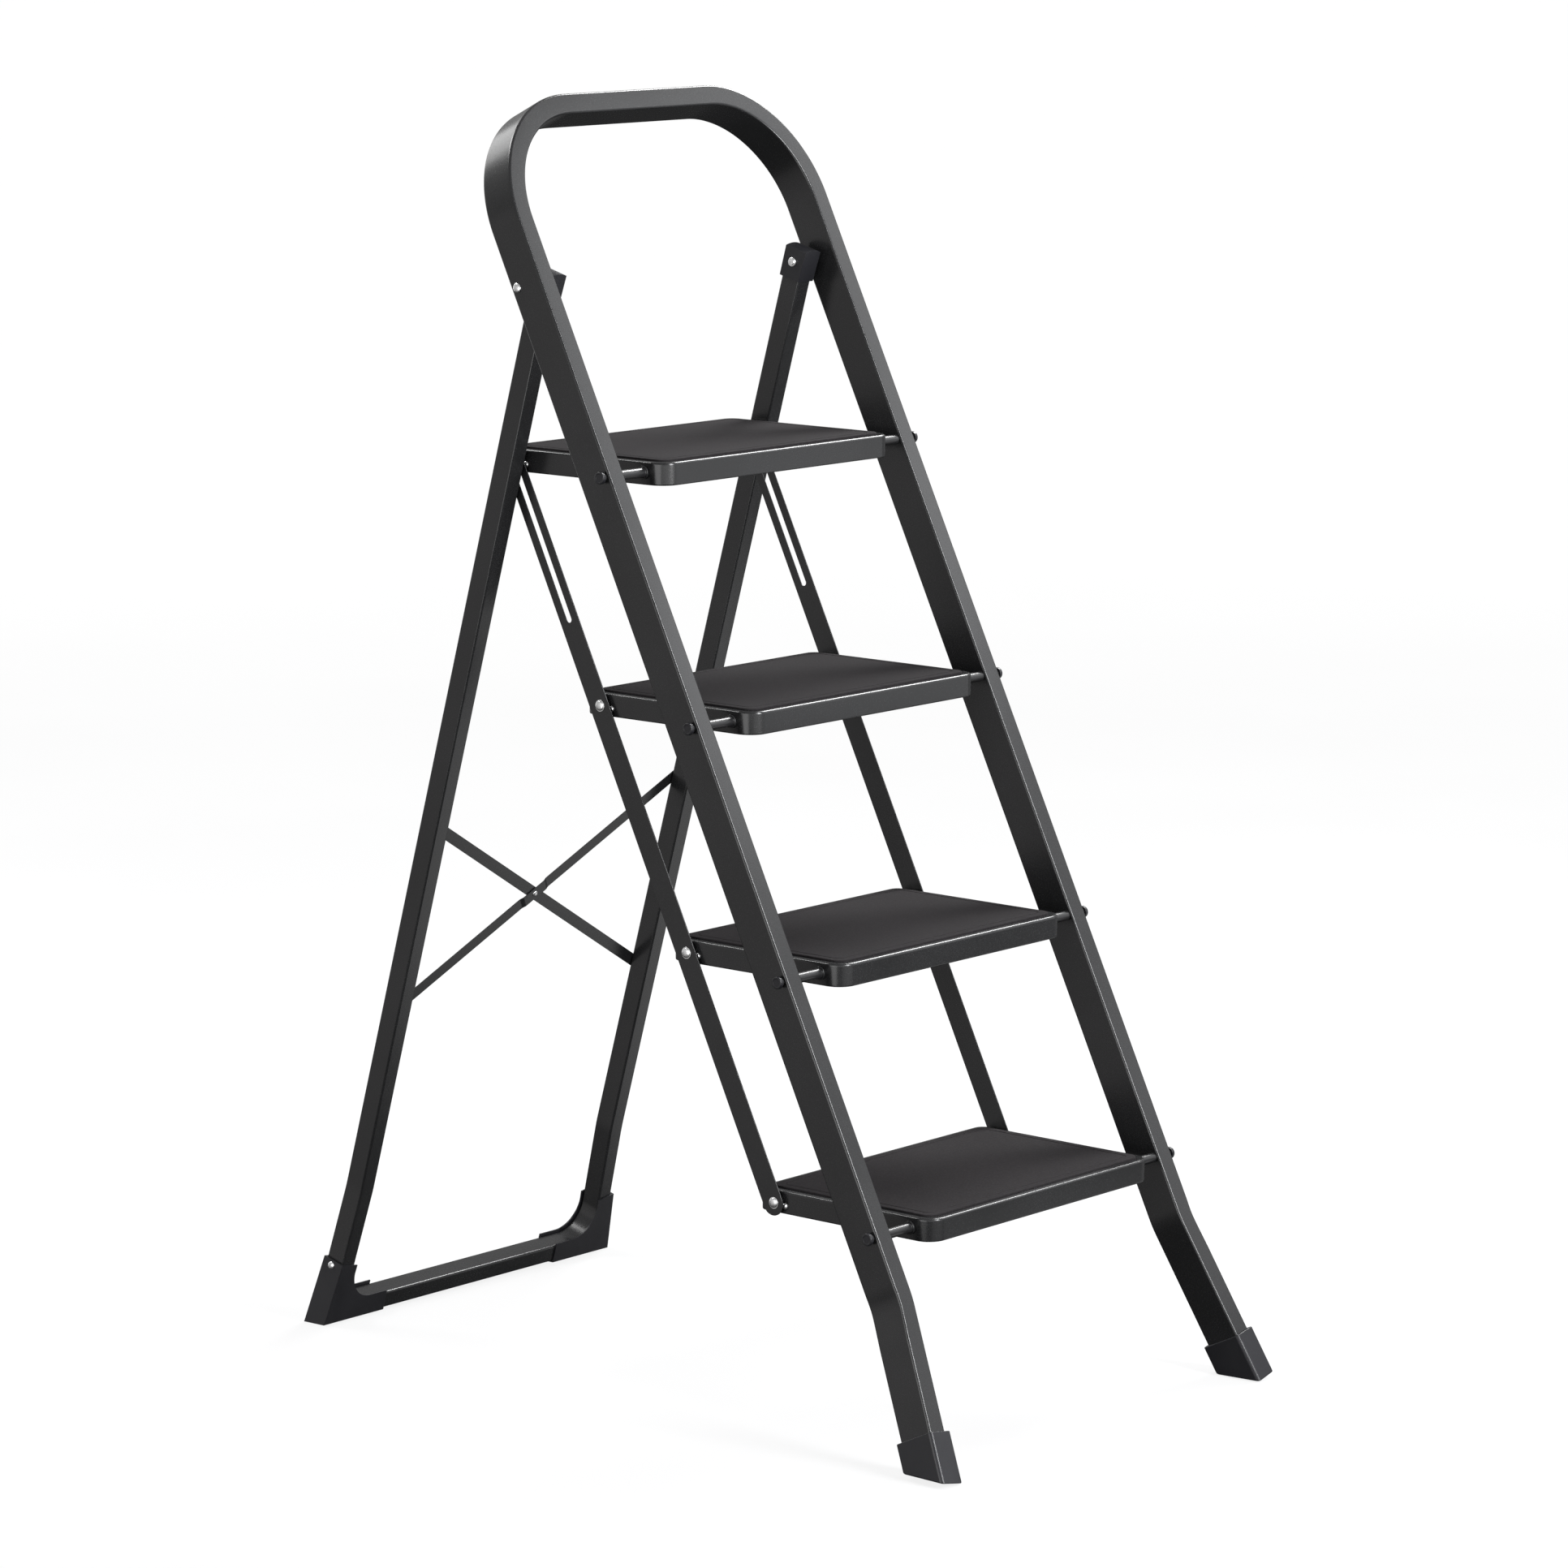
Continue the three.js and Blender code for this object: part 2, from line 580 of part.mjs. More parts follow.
// ---- link bars ----------------------------------------------------------------------------
function linkBar() {
  const top = (STEP_COUNT - 1) * stepPitch;
  const outline = roundEnded(0, top, LINK.width / 2);
  outline.holes.push(roundEnded(top + SLOT.bottom, top + SLOT.top, SLOT.width / 2));
  const plate = new THREE.ExtrudeGeometry(outline, {
    depth: LINK.outer - LINK.inner, bevelEnabled: false, curveSegments: 6,
  }).rotateY(Math.PI / 2).translate(LINK.inner, 0, -LINK.setBack);
  const holes = stepFrames.map((_, k) => (
    bar(LINK_RIVET.shank + GAP, LINK.inner - 1, LINK.outer + 1, k * stepPitch, 0)
  ));
  return cut(plate, ...holes);
}

// Shouldered rivet: domed head outside the bar, collar between bar and pan, tail inside the pan.
function linkRivet() {
  const { head, shank, rise } = LINK_RIVET;
  const panInner = PAN.half - PAN.wall;
  return turned([
    [0, panInner - GAP - 2], [4.2, panInner - GAP - 1.6], [4.2, panInner - GAP],
    [shank, panInner - GAP], [shank, PAN.half + GAP], [5, PAN.half + GAP],
    [5, LINK.inner - GAP], [shank, LINK.inner - GAP], [shank, LINK.outer + GAP],
    ...dome(head, LINK.outer + GAP, rise),
  ]);
}

// Headless stud that ends just short of the link bar.
function slotStud() {
  const face = LEG.out - LEG.width;
  const [radius, neck] = [STUD.radius, STUD.radius - 0.5];
  const tip = LINK.outer + 0.4;
  return turned([
    [0, tip], [radius, tip], [radius, face - GAP], [neck, face - GAP], [neck, face + 2],
    [0, face + 2],
  ]).translate(0, stud.y, stud.z);
}

addPair(linkFrame, 'link', linkBar(), 'darkPaint');
for (let k = 0; k < STEP_COUNT; k++) {
  addPair(linkFrame, `link_rivet_${k + 1}`, linkRivet().translate(0, k * stepPitch, 0), 'steel');
}
addPair(legFrame, 'slot_stud', slotStud(), 'steel');

export default ladder;
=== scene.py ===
import json
from math import atan, atan2, ceil, cos, hypot, pi, radians, sin, tan

import bmesh
import bpy
from mathutils import Matrix, Vector


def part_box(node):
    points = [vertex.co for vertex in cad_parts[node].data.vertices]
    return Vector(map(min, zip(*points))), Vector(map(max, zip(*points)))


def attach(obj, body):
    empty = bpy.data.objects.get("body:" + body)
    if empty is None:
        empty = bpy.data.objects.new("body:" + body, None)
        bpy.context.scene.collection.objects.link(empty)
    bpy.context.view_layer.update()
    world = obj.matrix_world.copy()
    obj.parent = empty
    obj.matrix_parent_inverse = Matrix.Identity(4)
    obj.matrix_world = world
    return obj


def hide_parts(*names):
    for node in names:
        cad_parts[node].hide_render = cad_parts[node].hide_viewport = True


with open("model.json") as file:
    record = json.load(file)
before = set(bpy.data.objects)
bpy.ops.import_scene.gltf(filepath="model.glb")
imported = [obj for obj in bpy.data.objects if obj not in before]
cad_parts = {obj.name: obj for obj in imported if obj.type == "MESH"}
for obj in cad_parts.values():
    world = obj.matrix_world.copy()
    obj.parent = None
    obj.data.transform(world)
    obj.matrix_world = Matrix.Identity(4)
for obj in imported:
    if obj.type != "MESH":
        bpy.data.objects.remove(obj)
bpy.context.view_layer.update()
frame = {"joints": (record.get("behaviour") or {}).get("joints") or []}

MM = 0.001
STEPS = (1, 2, 3, 4)
CREASE = 38                   # degrees: edges sharper than this stay crisp
GAP = 0.3                     # clearance between pieces that touch, millimetres
FIT, HAIR = 0.1, 0.05         # closer clearances, under heads and round shanks

# ---- dimensions, millimetres --------------------------------------------------------------
RAIL_OUT, RAIL_WIDTH, RAIL_DEPTH, RAIL_CORNER, RAIL_WALL = 239.5, 22.0, 41.0, 2.5, 1.5
RAIL_SET_BACK = 13.0          # tube centre line behind the axle line
LOOP_TOP, LOOP_RADIUS = 1206.5, 120.0
SPLAY_START, SPLAY_ANGLE, SPLAY_RADIUS, SPLAY_END = -66.0, 9.25, 110.0, -270.0
# shallow dent in each rail's outer face, round the splay bend
DENT_AT, DENT_ABOVE, DENT_BELOW, DENT_FROM, DENT_DEPTH = -76.0, 28.0, 34.0, 4.0, 1.2
DENT_EDGE_LOSS = 0.3          # share of the dent's depth that is gone at the face's edges
BEND_STEP, FINE_BEND_STEP = 3.0, 1.5      # degrees between the stations of a bend
STATION_SPACING, FACE_REACH, FACE_SPACING = 5, 15, 3      # added points that shape the dent
BOOT_WALL, BOOT_TOP, BOOT_SOLE, BOOT_INNER_EDGE = 4.0, -199.0, 5.0, 240.5

LEG_OUT, LEG_WIDTH, LEG_DEPTH, LEG_CORNER, LEG_WALL = 207.4, 19.4, 24.0, 2.2, 1.5
LEG_TOP = 11.5
LEG_BEND_AT, LEG_BEND_ANGLE, LEG_BEND_RADIUS = 1012.0, 3.8, 200.0
CROSSBAR_AT, CROSSBAR_RADIUS = 1155.4, 42.0

PAN_HALF, PAN_FRONT, PAN_REAR, PAN_TOP, PAN_BOTTOM, PAN_WALL = 180.0, -27.5, 197.5, 11.0, -12.6, 1.5
PAN_FRONT_CORNER, PAN_REAR_CORNER, PAN_EDGE, PAN_HEM = 20.0, 12.0, 3.0, 8.0
MAT_INSET, MAT_CORNER, MAT_THICK = 9.0, 12.0, 1.6
MAT_BORDER, GROOVE_WIDTH, GROOVE_DEPTH = 8.0, 1.4, 0.5

AXLE_RADIUS, AXLE_END = 4.0, 245.6
CAP_RADIUS, CAP_INNER, CAP_OUTER = 6.2, 243.2, 247.2
BUSH_RADIUS, BUSH_FLANGE, BUSH_FLANGE_THICK = 5.2, 6.8, 2.2

LINK_INNER, LINK_OUTER, LINK_WIDTH, LINK_SET_BACK = 183.8, 185.0, 25.5, 1.3
SLOT_WIDTH, SLOT_TOP, SLOT_BOTTOM = 6.6, -13.4, -172.6
LINK_HEAD, LINK_SHANK, LINK_RISE = 6.0, 3.0, 2.2
STUD_DROP, STUD_RADIUS = 14.0, 3.0
SIDE_RIVET_Y, SIDE_RIVET_Z = 160.8, -4.4
SIDE_RIVET_RADIUS, SIDE_RIVET_SHANK, SIDE_RIVET_RISE = 3.2, 1.2, 2.0

BRACE_WIDTH, BRACE_THICK, BRACE_UPPER, BRACE_LOWER = 12.7, 1.0, 592.0, 819.5
JOGGLE, CRANK_HALF, CRANK_RAMP = 1.4, 15.0, 6.0
RIVET_SHANK, RIVET_HEAD, RIVET_RISE = 2.0, 4.0, 1.8
CROSS_RIVET_HEAD, CROSS_RIVET_RISE = 3.4, 1.4

FOOT_REACH, FOOT_TOP, FOOT_OUT, FOOT_FLARE = 135.0, 1096.5, 215.8, 8.2
FOOT_LIP, FOOT_LIP_DROP, FOOT_WALL, FOOT_DEEP = 3.0, 4.0, 1.7, 1180.0
FOOT_SCREW_DOWN, FOOT_SCREW_BACK = 1102.3, 0.6
FOOT_SCREW_SHANK, FOOT_SCREW_HEAD, FOOT_SCREW_RISE, FOOT_SCREW_DEEP = 2.0, 4.2, 2.4, 6
LEG_CAP_WALL, LEG_CAP_OUTER, LEG_CAP_TOP, LEG_CAP_BOTTOM = 1.7, 210.3, 14.4, -18.4
LEG_CAP_CROWN, LEG_CAP_FLARE, LEG_CAP_BOSS = 2.2, 1.8, 8.0
BOLT_SHANK, BOLT_HEAD, BOLT_HEAD_HIGH, NUT_RADIUS, NUT_HIGH = 3.0, 5.0, 2.8, 5.0, 2.6

# ---- local frames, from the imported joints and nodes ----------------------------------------
joint_at = {j["name"]: Vector(j["pos_m"]) for j in frame["joints"]}
axles = [joint_at[f"step_{k}_hinge"] for k in STEPS]


def node_centre(node):
    low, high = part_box(node)
    return (low + high) / 2


def placing(origin, up):
    """Local X across the ladder, Y along up and Z towards the front, centred on X = 0."""
    across, up = Vector((1, 0, 0)), up.normalized()
    turn = Matrix((across, up, across.cross(up))).transposed().to_4x4()
    return Matrix.Translation((0, origin.y, origin.z)) @ turn @ Matrix.Scale(MM, 4)


rail_up = axles[-1] - axles[0]
leg_up = node_centre("brace_end_rivet_2") - node_centre("brace_end_rivet_1")
rail = placing(axles[0], rail_up)
leg = placing(joint_at["rear_frame_hinge"], leg_up)
link = placing(joint_at["link_right_hinge"], rail_up)
levels = [placing(at, Vector((0, 1, 0))) for at in axles]
pitch = rail_up.length / (len(STEPS) - 1) / MM        # axle spacing along the rail
hinge_in_rail = rail.inverted() @ joint_at["rear_frame_hinge"]
rail_centre = RAIL_OUT - RAIL_WIDTH / 2
leg_centre = LEG_OUT - LEG_WIDTH / 2


# ---- shape helpers --------------------------------------------------------------------------
def arc(cx, cy, radius, start, end, steps):
    turns = [radians(start + (end - start) * i / steps) for i in range(steps + 1)]
    return [(cx + radius * cos(a), cy + radius * sin(a)) for a in turns]


def rounded_rect(x0, x1, y0, y1, radii, steps=5):
    r0, r1, r2, r3 = radii if isinstance(radii, (list, tuple)) else [radii] * 4
    return (
        arc(x0 + r0, y0 + r0, r0, 180, 270, steps) + arc(x1 - r1, y0 + r1, r1, 270, 360, steps)
        + arc(x1 - r2, y1 - r2, r2, 0, 90, steps) + arc(x0 + r3, y1 - r3, r3, 90, 180, steps)
    )


def stadium(low, high, radius, steps=14):
    """An outline along Y with half-round ends."""
    return arc(0, low, radius, 180, 360, steps) + arc(0, high, radius, 0, 180, steps)


def softened(points, radii, steps=3):
    """The same line with its inner corners rounded, one radius for each."""
    at = [Vector(p) for p in points]
    line = [tuple(at[0])]
    for before, here, after, r in zip(at, at[1:], at[2:], radii):
        back, on = before - here, after - here
        turn = pi - back.angle(on)
        reach = min(r * tan(turn / 2), 0.49 * back.length, 0.49 * on.length)
        if reach < 1e-4:
            line.append(tuple(here))
            continue
        a, c = here + back.normalized() * reach, here + on.normalized() * reach
        for i in range(steps + 1):
            s = i / steps
            line.append(tuple(a * (1 - s) ** 2 + here * 2 * s * (1 - s) + c * s ** 2))
    return line + [tuple(at[-1])]


def loft(rings, joined=False, caps=True):
    """Faces from ring to ring; joined links the last ring to the first, caps closes both ends."""
    bm = bmesh.new()
    made = [[bm.verts.new(p) for p in ring] for ring in rings]
    pairs = list(zip(made, made[1:])) + ([(made[-1], made[0])] if joined else [])
    for a, b in pairs:
        for i in range(len(a)):
            j = (i + 1) % len(a)
            bm.faces.new((a[i], a[j], b[j], b[i]))
    if caps and not joined:
        bm.faces.new(made[0])
        bm.faces.new(made[-1])
    return bm


def turned(profile, segments=32):
    """A piece turned about the X axis from (radius, x) pairs."""
    bm = bmesh.new()
    rings = []
    for radius, x in profile:
        if radius < 1e-6:
            rings.append([bm.verts.new((x, 0, 0))])
        else:
            rings.append([bm.verts.new((x, y, z)) for y, z in arc(
                0, 0, radius, 0, 360 * (segments - 1) / segments, segments - 1)])
    for a, b in zip(rings, rings[1:]):
        for i in range(segments):
            j = (i + 1) % segments
            corners = [a[i % len(a)], a[j % len(a)], b[j % len(b)], b[i % len(b)]]
            bm.faces.new(list(dict.fromkeys(corners)))
    return bm


def dome(radius, x, rise, steps=6):
    """Profile of a domed head that starts at x and rises towards +X."""
    rim = 0.25
    rings = [
        (radius * cos(a), x + rise * (rim + (1 - rim) * sin(a)))
        for a in (radians(90) * i / steps for i in range(1, steps))
    ]
    return [(radius, x), (radius, x + rim * rise), *rings, (0, x + rise)]


def prism(outline, z0, z1):
    """A straight block on an outline in the XY plane."""
    return loft([[(x, y, z) for x, y in outline] for z in (z0, z1)])


def block(x0, x1, y0, y1, z0, z1):
    return prism([(x0, y0), (x1, y0), (x1, y1), (x0, y1)], z0, z1)


def bevelled(bm, width):
    """Rounds every edge that turns by more than 30 degrees."""
    sharp = [e for e in bm.edges if len(e.link_faces) == 2 and e.calc_face_angle() > radians(30)]
    bmesh.ops.bevel(
        bm, geom=sharp, offset=width, segments=3, affect="EDGES", profile=0.5, clamp_overlap=True)
    return bm


def combined(bm, tool, operation="DIFFERENCE"):
    """The boolean of two closed meshes; both are used up."""
    pair = []
    for source in (bm, tool):
        bmesh.ops.recalc_face_normals(source, faces=source.faces)
        mesh = bpy.data.meshes.new("part")
        source.to_mesh(mesh)
        source.free()
        pair.append(bpy.data.objects.new("part", mesh))
        bpy.context.scene.collection.objects.link(pair[-1])
    whole, cutter = pair
    join = whole.modifiers.new("cut", "BOOLEAN")
    join.operation, join.solver, join.object = operation, "EXACT", cutter
    result = bmesh.new()
    result.from_object(whole, bpy.context.evaluated_depsgraph_get())
    for o in pair:
        mesh = o.data
        bpy.data.objects.remove(o)
        bpy.data.meshes.remove(mesh)
    bmesh.ops.remove_doubles(result, verts=result.verts, dist=1e-4)
    return result


def bent_path(corners, bend_step=BEND_STEP):
    """(point, direction) stations through corner points (x, y, bend radius)."""
    at = [Vector(c[:2]) for c in corners]
    stations = [(at[0], (at[1] - at[0]).normalized())]
    for i in range(1, len(at) - 1):
        before, after = (at[i] - at[i - 1]).normalized(), (at[i + 1] - at[i]).normalized()
        turn, radius = before.angle(after), corners[i][2]
        start = at[i] - before * radius * tan(turn / 2)
        inward = (after - before * after.dot(before)).normalized()
        count = max(3, ceil(turn / radians(bend_step)))
        for j in range(count + 1):
            a = turn * j / count
            point = start + before * radius * sin(a) + inward * radius * (1 - cos(a))
            stations.append((point, before * cos(a) + inward * sin(a)))
    stations.append((at[-1], (at[-1] - at[-2]).normalized()))
    return stations


def swept_ring(point, way, section, set_back=0.0):
    """A section set square on a path; section pairs are (front to rear, left of the way)."""
    left = Vector((-way.y, way.x))
    return [Vector((*(point + left * b), a - set_back)) for a, b in section]


def swept_tube(stations, section, bore, set_back=0.0):
    """The rings of a tube's outside along a path, and of its bore on the way back."""
    outer = [swept_ring(p, way, section, set_back) for p, way in stations]
    inner = [swept_ring(p, way, bore, set_back) for p, way in stations]
    return outer, inner[::-1]


def slid_to(ring, way, foot, normal):
    """The ring's points moved along the way onto a plane."""
    way = Vector((*way, 0))
    return [p + way * ((foot - p).dot(normal) / way.dot(normal)) for p in ring]


# ---- finishes -------------------------------------------------------------------------------
class Finish:
    """A procedural material; every pattern lies in the object's own coordinates, in metres."""

    def __init__(self, name):
        self.material = bpy.data.materials.new(name)
        self.material.use_nodes = True
        self.tree = self.material.node_tree
        self.shader = self.tree.nodes["Principled BSDF"]
        self.place = self.node("ShaderNodeTexCoord").outputs["Object"]

    def node(self, kind, **settings):
        made = self.tree.nodes.new(kind)
        for key, value in settings.items():
            setattr(made, key, value)
        return made

    def feed(self, socket, value):
        if isinstance(value, bpy.types.NodeSocket):
            self.tree.links.new(value, socket)
        else:
            socket.default_value = value

    def grain(self, scale, detail=2.0, stretch=(1, 1, 1)):
        """Noise from 0 to 1, with cells of about 1/scale metres."""
        place = self.place
        if stretch != (1, 1, 1):
            mapping = self.node("ShaderNodeMapping")
            mapping.inputs["Scale"].default_value = stretch
            self.feed(mapping.inputs["Vector"], place)
            place = mapping.outputs["Vector"]
        noise = self.node("ShaderNodeTexNoise")
        noise.inputs["Scale"].default_value = scale
        noise.inputs["Detail"].default_value = detail
        self.feed(noise.inputs["Vector"], place)
        return noise.outputs["Fac"]

    def spread(self, value, low, high, to_low=0.0, to_high=1.0):
        """The value, smoothly stretched from low..high to to_low..to_high."""
        ramp = self.node("ShaderNodeMapRange", interpolation_type="SMOOTHSTEP")
        self.feed(ramp.inputs["Value"], value)
        for key, number in (
            ("From Min", low), ("From Max", high), ("To Min", to_low), ("To Max", to_high),
        ):
            ramp.inputs[key].default_value = number
        return ramp.outputs["Result"]

    def mixed(self, share, first, second):
        """The first colour at share 0, the second at share 1."""
        mix = self.node("ShaderNodeMix", data_type="RGBA")
        self.feed(mix.inputs["Factor"], share)
        for socket, value in zip([s for s in mix.inputs if s.type == "RGBA"], (first, second)):
            self.feed(socket, (*value, 1) if isinstance(value, tuple) else value)
        return next(s for s in mix.outputs if s.type == "RGBA")

    def maths(self, operation, first, second):
        made = self.node("ShaderNodeMath", operation=operation)
        self.feed(made.inputs[0], first)
        self.feed(made.inputs[1], second)
        return made.outputs[0]

    def plus(self, first, second):
        return self.maths("ADD", first, second)

    def times(self, first, second):
        return self.maths("MULTIPLY", first, second)

    def edges(self, radius, low, high):
        """1 on outer edges and corners, 0 on flats."""
        bevel = self.node("ShaderNodeBevel", samples=4)
        bevel.inputs["Radius"].default_value = radius
        true = self.node("ShaderNodeNewGeometry").outputs["Normal"]
        dot = self.node("ShaderNodeVectorMath", operation="DOT_PRODUCT")
        self.feed(dot.inputs[0], bevel.outputs["Normal"])
        self.feed(dot.inputs[1], true)
        return self.spread(dot.outputs["Value"], high, low)

    def finish(self, colour, roughness, height=None, depth=0.0, **numbers):
        """Sets the shader; height is raised by up to depth metres, numbers go on its sockets."""
        self.feed(self.shader.inputs["Base Color"], colour)
        self.feed(self.shader.inputs["Roughness"], roughness)
        if height is not None:
            bump = self.node("ShaderNodeBump")
            bump.inputs["Distance"].default_value = depth
            self.feed(bump.inputs["Height"], height)
            self.feed(self.shader.inputs["Normal"], bump.outputs["Normal"])
        for key, value in numbers.items():
            self.shader.inputs[key.replace("_", " ")].default_value = value
        return self.material


def powder_coat(name, dark, light, rough, speckle):
    """Fine-grained black powder coat: orange peel, pale specks and paler edges, partly rubbed wear
    and partly painted highlight.
    """
    f = Finish(name)
    fine, broad, peel = f.grain(1100, 2), f.grain(9, 3), f.grain(420, 2)
    fleck, rubbed_and_highlit = (0.11, 0.112, 0.114), (0.075, 0.076, 0.078)
    specks = f.spread(fine, 0.52, 0.72)
    body = f.mixed(f.spread(broad, 0.35, 0.65), dark, light)
    flecked = f.mixed(f.times(specks, speckle), body, fleck)
    # paler edges: partly rubbed wear, partly a painted highlight along the edges
    worn_and_highlit = f.times(f.edges(0.0012, 0.80, 0.97), f.spread(f.grain(60, 3), 0.35, 0.75))
    colour = f.mixed(f.times(worn_and_highlit, 0.35), flecked, rubbed_and_highlit)
    uneven = f.plus(fine, f.times(broad, 0.4))
    roughness = f.spread(uneven, 0.4, 1.0, rough - 0.03, rough + 0.04)
    height = f.plus(fine, f.times(peel, 0.8))
    return f.finish(colour, roughness, height, depth=0.00001, Specular_IOR_Level=0.5)


def rubber_mat(name):
    """Dark warm rubber with a close pebble grain, paler between the pebbles."""
    f = Finish(name)
    pebble = f.node("ShaderNodeTexVoronoi", feature="SMOOTH_F1")
    pebble.inputs["Scale"].default_value = 620
    f.feed(pebble.inputs["Vector"], f.place)
    cells = pebble.outputs["Distance"]
    broad, fine = f.grain(7, 4), f.grain(1600, 2)
    dark, light, dust = (0.0128, 0.0113, 0.0122), (0.0162, 0.0143, 0.0154), (0.029, 0.026, 0.0275)
    body = f.mixed(f.spread(broad, 0.3, 0.7), dark, light)
    dusty = f.mixed(f.spread(cells, 0.25, 0.7, 0.0, 0.35), body, dust)
    roughness = f.spread(f.plus(broad, fine), 0.7, 1.3, 0.8, 0.92)
    height = f.plus(f.times(cells, -0.8), f.times(fine, 0.3))
    return f.finish(dusty, roughness, height, depth=0.00008, Specular_IOR_Level=0.12)


def moulded_plastic(name):
    """Near-black moulded plastic with a spark-eroded grain, faint flow marks and paler edges,
    partly rubbed wear and partly painted highlight.
    """
    f = Finish(name)
    fine, flow, broad = f.grain(1900, 3), f.grain(45, 2, (1, 1, 0.25)), f.grain(14, 3)
    dark, light, rubbed_and_highlit = (0.0085, 0.0085, 0.0105), (0.013, 0.013, 0.0155), (0.055, 0.055, 0.058)
    body = f.mixed(f.spread(broad, 0.3, 0.7), dark, light)
    # paler edges: partly rubbed wear, partly a painted highlight along the edges
    worn_and_highlit = f.times(f.edges(0.001, 0.82, 0.98), f.spread(f.grain(90, 3), 0.4, 0.7))
    colour = f.mixed(f.times(worn_and_highlit, 0.3), body, rubbed_and_highlit)
    roughness = f.spread(f.plus(flow, fine), 0.7, 1.3, 0.31, 0.43)
    return f.finish(colour, roughness, fine, depth=0.00004, Specular_IOR_Level=0.4)


def bright_steel(name):
    """Zinc-plated steel with turning marks and small dark pits."""
    f = Finish(name)
    marks, pits = f.grain(900, 3, (5, 1, 1)), f.grain(700, 3)
    dull, bright, pitted = (0.76, 0.77, 0.78), (0.90, 0.90, 0.89), (0.3, 0.3, 0.31)
    tone = f.mixed(f.spread(marks, 0.3, 0.7), dull, bright)
    colour = f.mixed(f.spread(pits, 0.64, 0.8, 0.0, 0.5), tone, pitted)
    roughness = f.spread(f.plus(marks, pits), 0.6, 1.3, 0.2, 0.38)
    return f.finish(colour, roughness, marks, depth=0.00004, Metallic=1.0)


FINISHES = {
    "frame_paint": powder_coat(
        "frame_paint_look", (0.0095, 0.0096, 0.0100), (0.0125, 0.0126, 0.0132), 0.24, 0.09),
    "dark_paint": powder_coat(
        "dark_paint_look", (0.0095, 0.0095, 0.0100), (0.0125, 0.0125, 0.0131), 0.3, 0.08),
    "tread_mat": rubber_mat("tread_mat_look"),
    "foot_plastic": moulded_plastic("foot_plastic_look"),
    "bright_steel": bright_steel("bright_steel_look"),
}


# ---- adding pieces --------------------------------------------------------------------------
def add_piece(name, bm, at, body, slot, stands_for=()):
    """Places a mesh, gives it its finish and puts it on its body."""
    bm.transform(at)
    bmesh.ops.recalc_face_normals(bm, faces=bm.faces)
    for edge in bm.edges:
        edge.smooth = len(edge.link_faces) == 2 and edge.calc_face_angle() < radians(CREASE)
    for face in bm.faces:
        face.smooth = True
    mesh = bpy.data.meshes.new(name)
    bm.to_mesh(mesh)
    bm.free()
    mesh.materials.append(FINISHES[slot])
    piece = bpy.data.objects.new(name, mesh)
    bpy.context.scene.collection.objects.link(piece)
    normals = piece.modifiers.new("normals", "WEIGHTED_NORMAL")
    normals.keep_sharp = True
    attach(piece, body)
    if stands_for:
        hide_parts(*stands_for)


def add_node(node, bm, at, body, slot):
    """A piece that stands for the CAD node of that name."""
    add_piece(f"{node}_fine", bm, at, body, slot, [node])


def add_pair(node, bm, at, body, slot):
    """A right-hand piece and its mirror image; body may hold {side}."""
    for side, sign in (("right", 1), ("left", -1)):
        copy, mirror = bm.copy(), Matrix.Diagonal((sign, 1, 1, 1))
        add_node(f"{node}_{side}", copy, at @ mirror, body.format(side=side), slot)
    bm.free()


# ---- front frame ----------------------------------------------------------------------------
splay_slope = tan(radians(SPLAY_ANGLE))
splay_reach = (SPLAY_START - SPLAY_END) * splay_slope
loop_line = LOOP_TOP - RAIL_WIDTH / 2
front_corners = [
    (-rail_centre - splay_reach, SPLAY_END),
    (-rail_centre, SPLAY_START, SPLAY_RADIUS),
    (-rail_centre, loop_line, LOOP_RADIUS),
    (rail_centre, loop_line, LOOP_RADIUS),
    (rail_centre, SPLAY_START, SPLAY_RADIUS),
    (rail_centre + splay_reach, SPLAY_END),
]


def sole_plane(lift, side=1):
    """Foot and normal, in the rail frame, of the boot's sole or of a plane lifted from it."""
    tilt = atan(splay_slope / rail_up.normalized().z)
    normal = Vector((side * sin(-tilt), 0, cos(tilt)))
    foot = Vector((side * BOOT_INNER_EDGE * MM, 0, 0)) + normal * lift * MM
    back = rail.inverted()
    return back @ foot, (back.to_3x3() @ normal).normalized()


def splay_stations():
    """The loop's path, with close stations where the rails are dented."""
    path = bent_path(front_corners, FINE_BEND_STEP)
    stations = [path[0]]
    for (start, _), (end, way) in zip(path, path[1:]):
        count = max(1, ceil((end - start).length / STATION_SPACING))
        for i in range(1, count):
            between = start.lerp(end, i / count)
            if abs(between.y - DENT_AT) < DENT_BELOW:
                stations.append((between, (end - start).normalized()))
        stations.append((end, way))
    return stations


def ribbed(section, side):
    """Adds points along the section's outer side, which lies between its last two corners."""
    corner = len(section) * 3 // 4
    added = [(a, side) for a in range(FACE_REACH, -FACE_REACH - 1, -FACE_SPACING)]
    return section[:corner] + added + section[corner:]


def dented(ring, section, way_point):
    """The ring, with its outer side pushed in where the dent passes."""
    above = way_point.y - DENT_AT
    along = above / (DENT_ABOVE if above > 0 else DENT_BELOW)
    if abs(way_point.x) < rail_centre - 1 or abs(along) >= 1:
        return ring
    inward = -1 if way_point.x > 0 else 1
    made = []
    for p, (a, b) in zip(ring, section):
        outer_part = max(0, b - DENT_FROM) / (RAIL_WIDTH / 2 - DENT_FROM)
        across = 1 - DENT_EDGE_LOSS * (2 * a / RAIL_DEPTH) ** 2
        share = outer_part * across * (1 - along ** 2) ** 2
        made.append(p + Vector((inward * DENT_DEPTH * share, 0, 0)))
    return made


